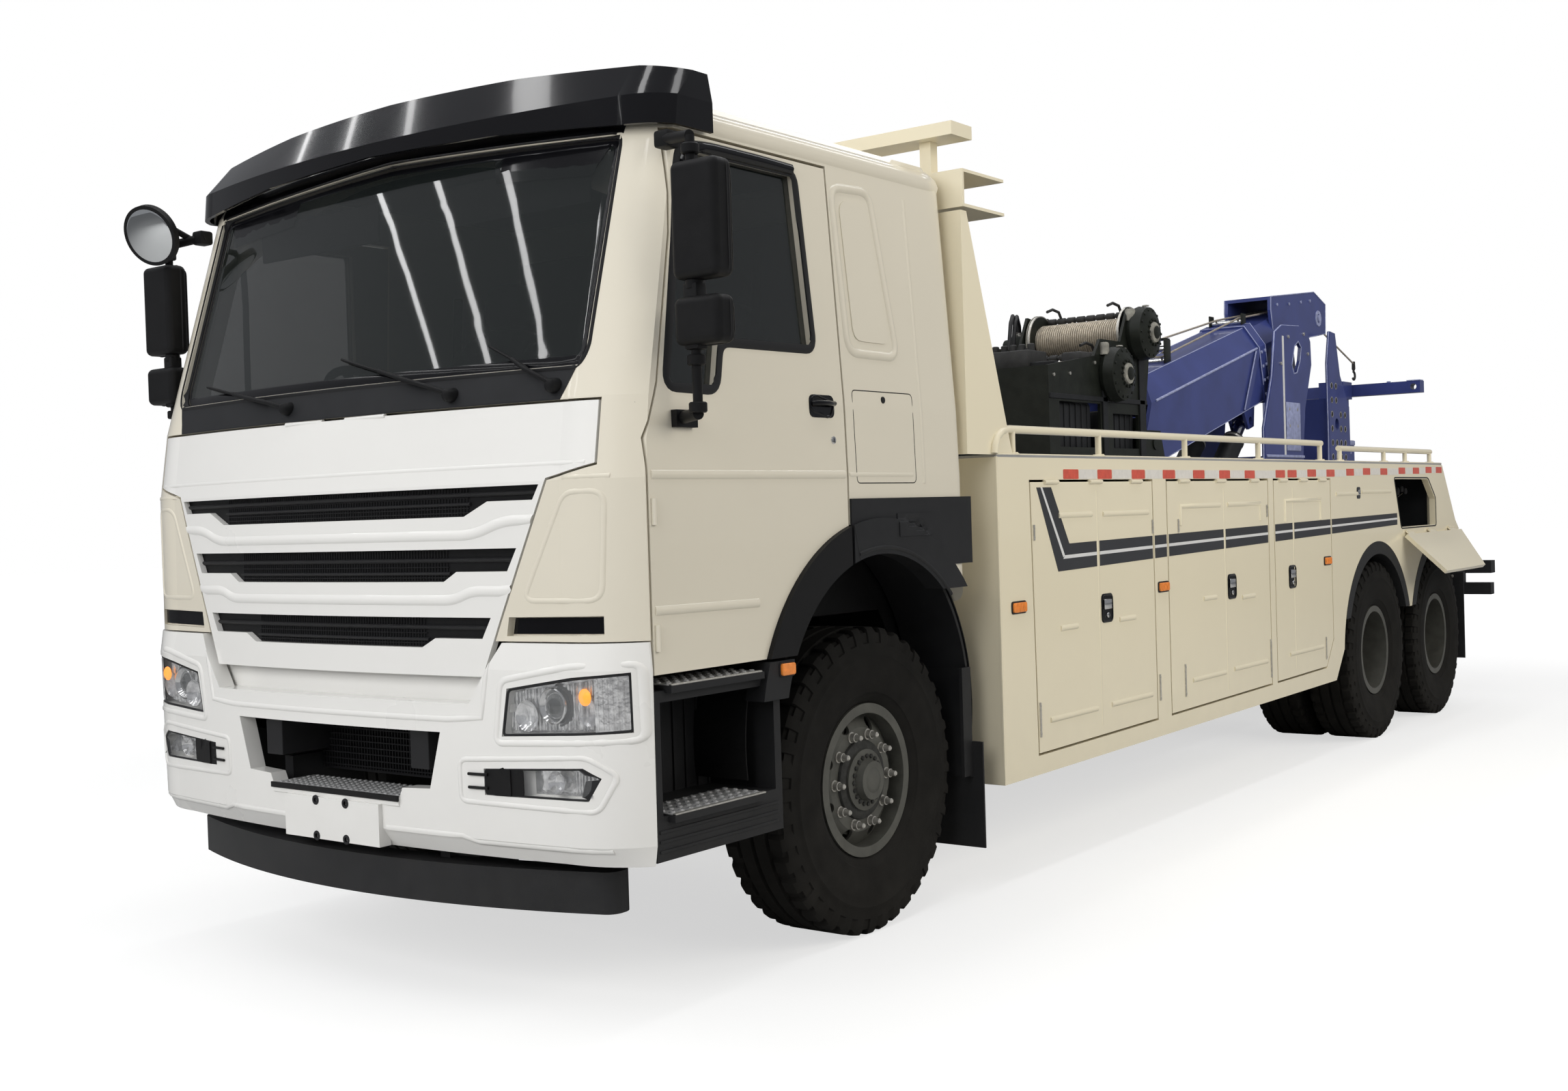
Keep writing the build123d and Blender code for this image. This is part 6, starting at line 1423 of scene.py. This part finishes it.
def winches():
    for name, y, z in DRUMS:
        rope = Piece(f"wound_rope_{name}", f"drum_{name}", ROPE)
        points, per = [], 22
        for i in range(ROPE_TURNS * per + 1):
            a = 2 * math.pi * i / per
            points.append((-279 + 558 * i / (ROPE_TURNS * per), y + 97 * math.sin(a), z + 97 * math.cos(a)))
        rope.tube(points, 7.4, 6)
        rope.lathe([(-285, 83), (-285, 94), (285, 94), (285, 83), (-285, 83)], (0, y, z), "x", 40)
        rope.done(50)
        worn = Piece(f"drum_flange_rims_{name}", f"drum_{name}", NUT)
        for x in (-293, 293):
            worn.lathe([(-7.5, 160), (-7.5, 166), (7.5, 166), (7.5, 160), (-7.5, 160)], (x, y, z), "x", 48)
        worn.done(40)
        gear = Piece(f"winch_gear_{name}", "truck", WINCH)
        for spot in ring_spots(y, z, 74, 14):
            gear.side_lathe(1, 448, ((0, 0), (0, 9), (9, 9), (11, 6), (11, 0)), spot, 6)
        for spot in ring_spots(y, z, 134, 14):
            gear.side_lathe(1, 428, ((0, 0), (0, 8), (9, 8), (9, 0)), spot, 6)
        gear.lathe([(446, 40), (470, 38), (476, 30), (476, 0)], (0, y, z), "x", 32)
        gear.lathe([(-341, 96), (-352, 92), (-356, 60), (-400, 58), (-412, 50), (-412, 0)], (0, y, z), "x", 32)
        gear.box((-500, -404), (y - 52, y + 52), (z - 52, z + 52), 12)
        gear.lathe([(-498, 44), (-540, 40), (-548, 30), (-548, 0)], (0, y, z), "x", 24)
        gear.done(40)
        hoses = Piece(f"winch_hoses_{name}", "truck", SEAL)
        for at_y in (y - 26, y + 26):
            hoses.tube([(-455, at_y, z + 50), (-458, at_y, z + 120), (-440, at_y - 60, z + 175),
                        (-400, at_y - 160, z + 120), (-380, at_y - 230, z - 60), (-372, at_y - 250, 1900),
                        (-372, at_y - 250, 1768)], 13, 8)
        hoses.done(60)
        fit = Piece(f"winch_fittings_{name}", "truck", NUT)
        for dy in (-26, 26):
            fit.lathe([(48, 0), (48, 18), (62, 18), (64, 15), (80, 15), (80, 0)], (-455, y + dy, z), "z", 6)
        fit.lathe([(0, 0), (0, 22), (6, 22), (8, 12), (8, 0)], (400, y, z + 158), "z", 6)
        fit.done(30)
    frame_bolts = Piece("winch_frame_bolts", "truck", NUT)
    for side in (1, -1):
        for y in range(3060, 4221, 145):
            frame_bolts.side_lathe(side, 340, bolt(11, 8, 7), (y, 1790), 6)
        for y, z in ((3060, 2250), (3250, 2265), (3560, 2340), (3960, 2440), (4230, 2620), (4060, 2655)):
            frame_bolts.side_lathe(side, 340, bolt(10, 7, 6), (y, z), 6)
    frame_bolts.done(30)
    plates = Piece("winch_frame_plates", "truck", FRAME)
    for side in (1, -1):
        for ys, zs in (((3640, 3700), (1800, 2380)), ((3000, 4230), (2122, 2150)), ((4130, 4200), (1800, 2400))):
            plates.box(across(side, 339, 350), ys, zs, 3)
    plates.box((-322, 322), (3380, 3420), (2150, 2290), 4)
    plates.box((-322, 322), (3100, 3160), (2288, 2330), 6)
    plates.done(bevel=1.5)
    tank = Piece("winch_valve_block", "truck", CASTING)
    tank.box((-180, 180), (3080, 3300), (2290, 2400), 10)
    for i in range(6):
        tank.lathe([(0, 0), (0, 20), (40, 20), (44, 14), (44, 0)], (-140 + i * 56, 3190, 2398), "z", 14)
    tank.done(35)

    store = Piece("winch_oil_tank", "truck", FRAME)
    for start, end, top, ribs, rib_top in ((3040, 3590, 2120, range(3100, 3560, 70), 2105),
                                           (3760, 4150, 2080, range(3800, 4140, 70), 2066)):
        store.box((-300, 300), (start, end), (1778, top), 26)
        for y in ribs:
            store.box((-306, 306), (y, y + 12), (1790, rib_top), 3)
    store.lathe([(0, 0), (0, 34), (30, 34), (36, 28), (36, 0)], (150, 3200, 2118), "z", 24)
    store.done(35)
    tension = Piece("rope_tensioners", "truck", CASTING)
    for _, y, z in DRUMS:
        for x in (-312, 312):
            plate = ((y + 60, z + 150), (y + 150, z + 120), (y + 120, z + 60), (y + 20, z + 130))
            tension.hull(*([(at_x, *p) for p in plate] for at_x in (x - 6, x + 6)))
            tension.lathe([(-20, 0), (-20, 26), (20, 26), (20, 0)], (x, y + 92, z + 132), "x", 20)
        tension.tube([(-318, y + 92, z + 132), (318, y + 92, z + 132)], 13, 12)
        for i in range(9):
            x = -260 + i * 65
            tension.lathe([(-26, 0), (-26, 17), (-22, 20), (22, 20), (26, 17), (26, 0)], (x, y + 92, z + 132),
                          "x", 16)
        for x in (-200, 200):
            tension.tube([(x, y + 92, z + 146), (x, y + 60, z + 186), (x, y - 20, z + 196),
                          (x, y - 90, z + 176)], 9, 8)
    tension.box((-330, -200), (3420, 3620), (2300, 2410), 14)
    tension.box((200, 330), (3420, 3560), (2300, 2400), 14)
    tension.done(40)
    caps = Piece("winch_worn_caps", "truck", WORN)
    for _, y, z in DRUMS:
        caps.lathe([(450, 62), (462, 58), (466, 46), (466, 30), (452, 28), (450, 62)], (0, y, z), "x", 32)
        caps.lathe([(-312, 166), (-309, 168), (-305, 166), (-305, 150), (-312, 150), (-312, 166)], (0, y, z),
                   "x", 40)
    for y, z in ((3660, 2420), (4020, 2640)):
        caps.lathe([(0, 0), (0, 30), (60, 30), (70, 22), (70, 0)], (352, y, z - 30), "z", 18)
    caps.done(40)


winches()


def boom_details():
    # Lighter blue lines along the boom's creases and edges: painted highlight
    creases = Piece("boom_crease_highlights", "boom_outer", BLUE_HIGHLIGHT)
    for side in (1, -1):
        creases.tube([on_boom(side * 238, u, 112) for u in (180, 600, 1100, 1600, 1955)], 8.5, 8)
        creases.tube([on_boom(side * 149, u, 264) for u in (250, 600, 1100, 1600, 1955)], 3.5, 8)
        creases.tube([on_boom(side * 239, u, -262) for u in (0, 600, 1100, 1600, 1955)], 3.5, 8)
        for u in (1962, 2078):
            creases.tube([on_boom(side * 253, u, -150), on_boom(side * 253, u, 116), on_boom(side * 160, u, 277),
                          on_boom(0, u, 278)], 3.5, 8)
    creases.done(60)
    brace = Piece("boom_braces", "boom_outer", BLUE)
    brace_edge = Piece("boom_brace_edges", "boom_outer", BLUE_HIGHLIGHT)
    for side in (1, -1):
        outline = [(1560, -250), (1640, -250), (1955, 60), (1955, 104), (1900, 104)]
        brace.sheet(outline, lambda u, n, lift: on_boom(side * (240 + lift), u, n), 14, 500)
        brace_edge.tube([on_boom(side * 252, 1562, -246), on_boom(side * 252, 1898, 102)], 5, 8)
    brace.done(bevel=1.5)
    brace_edge.done(60)
    boom_bolts = Piece("boom_bolts", "boom_outer", BLUE_HIGHLIGHT)
    for side in (1, -1):
        for u in (1985, 2055):
            for n in (-220, -120, -20, 80):
                boom_bolts.side_lathe(side, 253, bolt(12, 9, 8), on_boom(0, u, n)[1:], 6)
        boom_bolts.side_lathe(side, 250, ((0, 78), (4, 74), (4, 46), (0, 44), (0, 78)),
                              on_boom(0, 0, -120)[1:], 40)
    boom_bolts.done(30)
    inner = Piece("boom_inner_edges", "boom_inner", BLUE_HIGHLIGHT)
    for side in (1, -1):
        inner.tube(on_side(side, 175, HEAD_EDGE), 4, 8)
        middle = (SHEAVE_Y, SHEAVE_Z)
        inner.side_lathe(side, 174, ((0, 62), (6, 60), (6, 36), (0, 34), (0, 62)), middle, 36)
        inner.side_lathe(side, 174, ((0, 0), (0, 28), (14, 26), (16, 20), (16, 0)), middle, 24)
        for y, z in ((6900, 2960), (7150, 2985), (7400, 3020), (7600, 3045), (7100, 2720), (7420, 2800)):
            inner.side_lathe(side, 174, bolt(12, 9, 8), (y, z), 6)
    inner.done(40)
    grooves = Piece("head_sheaves", "boom_inner", NUT)
    for x in (-80, 80):
        for way in (-1, 1):
            rim = ((31, 96), (34, 100), (34, 122), (31, 128), (29, 128), (29, 96), (31, 96))
            grooves.lathe([(way * d, r) for d, r in rim], (x, SHEAVE_Y, SHEAVE_Z), "x", 48)
    grooves.done(40)

    guide = Piece("rope_guide", "boom_outer", WINCH)
    rollers = Piece("rope_rollers", "boom_outer", CHROME)
    for side in (1, -1):
        guide.box(across(side, 112, 124), (5020, 5112), (2420, 2590), 4)
        guide.box(across(side, 112, 124), (6350, 6425), (2750, 2860), 4)
    guide.box((-124, 124), (5030, 5102), (2586, 2598), 3)
    guide.done(35)
    for y, z, r in ROPE_ROLLERS:
        rollers.lathe([(-111, 0), (-111, r), (111, r), (111, 0)], (0, y, z), "x", 28)
    rollers.done(40)



boom_details()


def ropes():
    """Each rope runs taut from its drum over the guide's rollers to its sheave, and on to its hook."""
    for x, name, start, over in ((-80, "upper", (4130.0, 2644.0), 2559.0),
                                 (80, "lower", (3760.0, 2384.0), 2479.0)):
        drum, guide, roller = (x, *start), (x, 5066, over), (x, 6388, 2829)
        over_sheave = (x, SHEAVE_Y - 22, SHEAVE_Z + 110)
        behind_sheave = (x, SHEAVE_Y + 112, SHEAVE_Z)
        first = Piece(f"winch_rope_{name}_run", None, ROPE)
        first.tube(line_points(drum, guide, 30), 7, 8)
        obj = first.done(70)
        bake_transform(obj)
        middle = Piece(f"winch_rope_{name}_boom", "boom_outer", ROPE)
        middle.tube(line_points(guide, roller, 16), 7, 8)
        middle.done(70)
        last = Piece(f"winch_rope_{name}_slide", None, ROPE)
        last.tube(line_points(roller, over_sheave, 20), 7, 8)
        obj = last.done(70)
        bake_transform(obj)
        turned = Piece(f"winch_rope_{name}_head", "boom_inner", ROPE)
        turns = [math.radians(a) for a in range(101, -1, -10)]
        arc = [(x, SHEAVE_Y + 112 * math.cos(a), SHEAVE_Z + 112 * math.sin(a)) for a in turns]
        if name == "upper":
            end = (x, SHEAVE_Y + 112, 2600)
            turned.tube(arc + line_points(behind_sheave, end, 8), 7, 8)
        else:
            end = (150, 8690, 2625)
            turned.tube(arc[:-2] + line_points(behind_sheave, end, 14), 7, 8)
        turned.done(70)
        hook = Piece(f"rope_hook_{name}", "boom_inner", CASTING)
        hx, hy, hz = end
        hook.lathe([(20, 0), (18, 13), (-40, 15), (-52, 11), (-52, 0)], (hx, hy, hz), "z", 16)
        turns = [math.radians(a) for a in range(100, -151, -22)]
        curve = [(hx, hy + 30 * math.cos(a), hz - 98 + 32 * math.sin(a)) for a in turns]
        hook.tube([(hx, hy, hz - 45), (hx, hy, hz - 62)] + curve, 9, 10)
        hook.done(60)


ropes()


def tower_and_lift():
    # The tower's edge lines and plates and the lift's details in lighter blue carry painted highlight
    tower = Piece("tower_edges", "truck", BLUE_HIGHLIGHT)
    tower_bolts = Piece("tower_bolts", "truck", NUT)
    strips = Piece("tower_strips", "truck", PIN_STRIPE)
    for side in (1, -1):
        tower.tube(on_side(side, 304, TOWER_EDGE), 5.5, 8)
        tower.tube(on_side(side, 316, TOWER_HOLE), 4.5, 8)
        strips.box(across(side, 315, 319), (6600, 6632), (1850, 2700), 1)
        for y, z in TOWER_BOLTS:
            tower_bolts.side_lathe(side, 316, bolt(13, 10, 9), (y, z), 6)
        tower.box(across(side, 315, 326), (6640, 6920), (1880, 2230), 6)
        tower.box(across(side, 315, 326), (6240, 6990), (1830, 1850), 4)
        tower.tube(on_side(side, 251, TAIL_EDGE), 5.5, 8)
        for spot in TAIL_HOLES:
            tower_bolts.side_lathe(side, 262, ((0, 26), (1.5, 26), (2.5, 22), (0.5, 20), (0, 26)), spot, 20)
    tower.done(50)
    tower_bolts.done(30)
    strips.done()
    holes = Piece("tail_plate_holes", "truck", SEAL)
    for side in (1, -1):
        for spot in TAIL_HOLES:
            holes.side_lathe(side, 262, ((0, 0), (0, 20), (1, 20), (1, 0)), spot, 20)
    holes.done(30)
    lift = Piece("lift_arm_details", "lift_arm_body", BLUE_HIGHLIGHT)
    for side in (1, -1):
        for y in (8562, 8778):
            lift.tube([(side * 109, y, 905), (side * 109, y, 1996)], 4, 8)
        for z in (1100, 1500, 1900):
            lift.side_lathe(side, 110, bolt(15, 9, 10), (8670, z), 6)
    lift.box((-118, 118), (8552, 8788), (1960, 1998), 5)
    lift.done(40)
    ends = Piece("crossbar_sockets", "crossbar", BLUE_HIGHLIGHT)
    for x in (-590, 590):
        ends.lathe([(8904, 46), (8909, 44), (8909, 27), (8902, 26), (8902, 46), (8904, 46)], (x, 0, 2413),
                   "y", 32)
        ends.box((x - 52, x + 52), (8796, 8905), (2460, 2468), 2)
    for x in (-380, 380):
        ends.lathe([(0, 0), (0, 16), (12, 16), (13, 10), (13, 0)], (x, 8855, 2460), "z", 6)
    ends.done(40)
    bands = Piece("ram_bands", "rams", NUT)
    for x in (-140, 140):
        base, tip = Vector((x, 5250, 1250)), Vector((x, 6250, 2090))
        width = (tip - base).normalized() * 16
        for t in (0.35, 0.55, 0.82):
            start = base.lerp(tip, t)
            bands.tube([start, start + width], 79, 28)
    bands.done(40)


tower_and_lift()


# Tail and underbody

# Profile of a brake chamber: distance before the axle, and radius
CHAMBER = [(330, 0), (325, 60), (300, 84), (250, 88), (245, 94), (235, 94), (230, 86), (180, 70), (170, 0)]


def tail_and_under():
    red = Piece("tail_lamps_red", "truck", RED_LENS)
    amber = Piece("tail_lamps_amber", "truck", AMBER)
    clear = Piece("tail_lamps_clear", "truck", PALE)
    cases = Piece("tail_lamp_cases", "truck", SEAL)
    boards = Piece("tail_reflectors", "truck", RED)
    for side in (1, -1):
        cases.box(across(side, 760, 1200), (8548, 8574), (922, 1006), 5)
        for low, high, part in ((1085, 1190, amber), (935, 1075, red), (860, 925, clear), (772, 850, red)):
            start, end = across(side, low, high)
            part.box((start, end), (8570, 8584), (930, 998), 6)
            for i in range((high - low) // 14):
                x = start + 8 + i * 14
                part.box((x, x + 4), (8583, 8586), (934, 994))
        for x in (300, 460, 620):
            cases.lathe([(8558, 0), (8558, 13), (8566, 13), (8567, 9), (8567, 0)], (side * x, 0, 795), "y", 6)
        start, _ = across(side, 700, 1220)
        for i in range(6):
            x = start + i * 87
            (boards if i % 2 == 0 else clear).box((x, x + 84), (8549, 8553), (770, 820))
    cases.box((-720, -330), (8558, 8564), (912, 1014), 3)
    clear.box((-712, -338), (8563, 8566), (918, 1008), 2)
    for part in (red, amber, clear, cases, boards):
        part.done(35)
    under = Piece("air_tanks", "truck", FRAME)
    for y0, y1, x, z in ((1400, 2150, 200, 700), (2300, 3050, 200, 700), (1400, 2150, -200, 700)):
        under.lathe([(y0 - 60, 0), (y0 - 50, 70), (y0, 130), (y1, 130), (y1 + 50, 70), (y1 + 60, 0)], (x, 0, z),
                    "y", 32)
        for y in (y0 + 120, y1 - 120):
            under.lathe([(y - 20, 131), (y - 20, 135), (y + 20, 135), (y + 20, 131), (y - 20, 131)], (x, 0, z),
                        "y", 32)
            under.box((x - 16, x + 16), (y - 18, y + 18), (z + 128, 860), 3)
    under.done(40)
    chambers = Piece("brake_chambers", "truck", FRAME)
    hoses = Piece("brake_hoses", "truck", SEAL)
    for y in (MID_AXLE_Y, REAR_AXLE_Y):
        for side in (1, -1):
            chambers.lathe([(y - d, r) for d, r in CHAMBER], (side * 290, 0, 640), "y", 28)
            chambers.tube([(side * 290, y - 175, 640), (side * 290, y - 90, 640)], 12, 8)
            hoses.tube([(side * 290, y - 300, 720), (side * 300, y - 320, 800), (side * 360, y - 380, 830),
                        (side * 405, y - 420, 860)], 9, 8)
    chambers.done(40)
    hoses.done(60)
    flaps = Piece("mud_flap_bolts", "truck", NUT)
    for side in (1, -1):
        for x in (680, 800, 920, 1040, 1160):
            flaps.lathe([(7654, 0), (7654, 9), (7660, 12), (7661, 0)], (side * x, 0, 930), "y", 10)
    flaps.done(40)


tail_and_under()


# Camera at the photograph's place
camera_data = bpy.data.cameras.new("photo_camera")
camera = bpy.data.objects.new("photo_camera", camera_data)
bpy.context.scene.collection.objects.link(camera)
YAW, PITCH, ROLL = (math.radians(v) for v in (-36.924, -1.105, -1.785))
ahead = Vector((math.sin(YAW) * math.cos(PITCH), math.cos(YAW) * math.cos(PITCH), math.sin(PITCH)))
right = ahead.cross(Vector((0, 0, 1))).normalized()
above = right.cross(ahead)
right, above = (math.cos(ROLL) * right + math.sin(ROLL) * above,
                -math.sin(ROLL) * right + math.cos(ROLL) * above)
turned = Matrix((right, above, -ahead)).transposed().to_4x4()
camera.matrix_world = Matrix.Translation(at(4515.6, -4968.6, 1541.6)) @ turned
camera_data.sensor_width = 36.0
camera_data.sensor_fit = "HORIZONTAL"
camera_data.lens = 36.0 * 2412.9 / 2296
camera_data.clip_end = 200
bpy.context.scene.camera = camera
bpy.context.scene.view_settings.view_transform = "Standard"


# Floor, world and lamps

world = bpy.data.worlds.new("studio")
bpy.context.scene.world = world
world.use_nodes = True
tree = world.node_tree
tree.nodes.clear()
paths = node(tree, "LightPath")
lit = node(tree, "Background", Color=(0.93, 0.95, 1.0, 1), Strength=0.26)
shown = node(tree, "Background", Color=(1, 1, 1, 1), Strength=1.0)
choose = node(tree, "MixShader")
out = node(tree, "OutputWorld")
seen = math_node(tree, "MAXIMUM", paths.outputs["Is Camera Ray"], paths.outputs["Is Transmission Ray"])
link(tree, seen, choose.inputs["Fac"])
link(tree, lit.outputs["Background"], choose.inputs[1])
link(tree, shown.outputs["Background"], choose.inputs[2])
link(tree, choose.outputs["Shader"], out.inputs["Surface"])

floor_data = bpy.data.meshes.new("floor")
floor_data.from_pydata([(-60, -60, 0), (60, -60, 0), (60, 60, 0), (-60, 60, 0)], [], [(0, 1, 2, 3)])
floor = bpy.data.objects.new("floor", floor_data)
bpy.context.scene.collection.objects.link(floor)
floor_mat = material("pale_floor", (0.42, 0.42, 0.415), rough=0.85, vary=0.01, scale=1.0, bump=0.05, bump_scale=40)
floor_data.materials.append(floor_mat)
tree = floor_mat.node_tree
shader = tree.nodes["Principled BSDF"]
far = tree.nodes.new("ShaderNodeVectorMath")
far.operation = "LENGTH"
link(tree, node(tree, "TexCoord").outputs["Object"], far.inputs[0])
rise = node(tree, "MapRange", From_Min=6.0, From_Max=14.0, To_Min=0.62, To_Max=1.0)
link(tree, far.outputs["Value"], rise.inputs["Value"])
shader.inputs["Emission Color"].default_value = (1, 1, 1, 1)
glow = math_node(tree, "MULTIPLY", node(tree, "LightPath").outputs["Is Camera Ray"], rise.outputs["Result"])
link(tree, glow, shader.inputs["Emission Strength"])


def area_lamp(name, place, target, size, power, colour=(1, 1, 1)):
    data = bpy.data.lights.new(name, "AREA")
    data.shape = "RECTANGLE"
    data.size, data.size_y = size
    data.energy = power
    data.color = colour
    lamp = bpy.data.objects.new(name, data)
    bpy.context.scene.collection.objects.link(lamp)
    # Only the narrow lamps are mirrored in paint and glass
    lamp.visible_glossy = size[0] < 1
    lamp.location = at(*place)
    lamp.rotation_euler = (at(*target) - at(*place)).to_track_quat("-Z", "Y").to_euler()
    return lamp


area_lamp("front_soft", (500, -9500, 5200), (0, -500, 1500), (9, 5), 620)
area_lamp("left_soft", (9500, 3600, 5200), (0, 3400, 1200), (11, 5), 570, (1.0, 0.965, 0.89))
area_lamp("right_soft", (-9500, 1500, 7000), (0, 2500, 1200), (11, 5), 200)
area_lamp("rear_soft", (0, 15500, 6500), (0, 7000, 1500), (8, 4), 180)
for place_x in (-7600, -6200, -4800):
    area_lamp(f"far_strip_{place_x}", (place_x, -6500, 7800), (place_x, -6500, 0), (0.14, 15), 45)
for place_x in (-2600, 0, 2600):
    area_lamp(f"ceiling_strip_{place_x}", (place_x, 1500, 7600), (place_x, 1500, 0), (0.5, 16), 120)
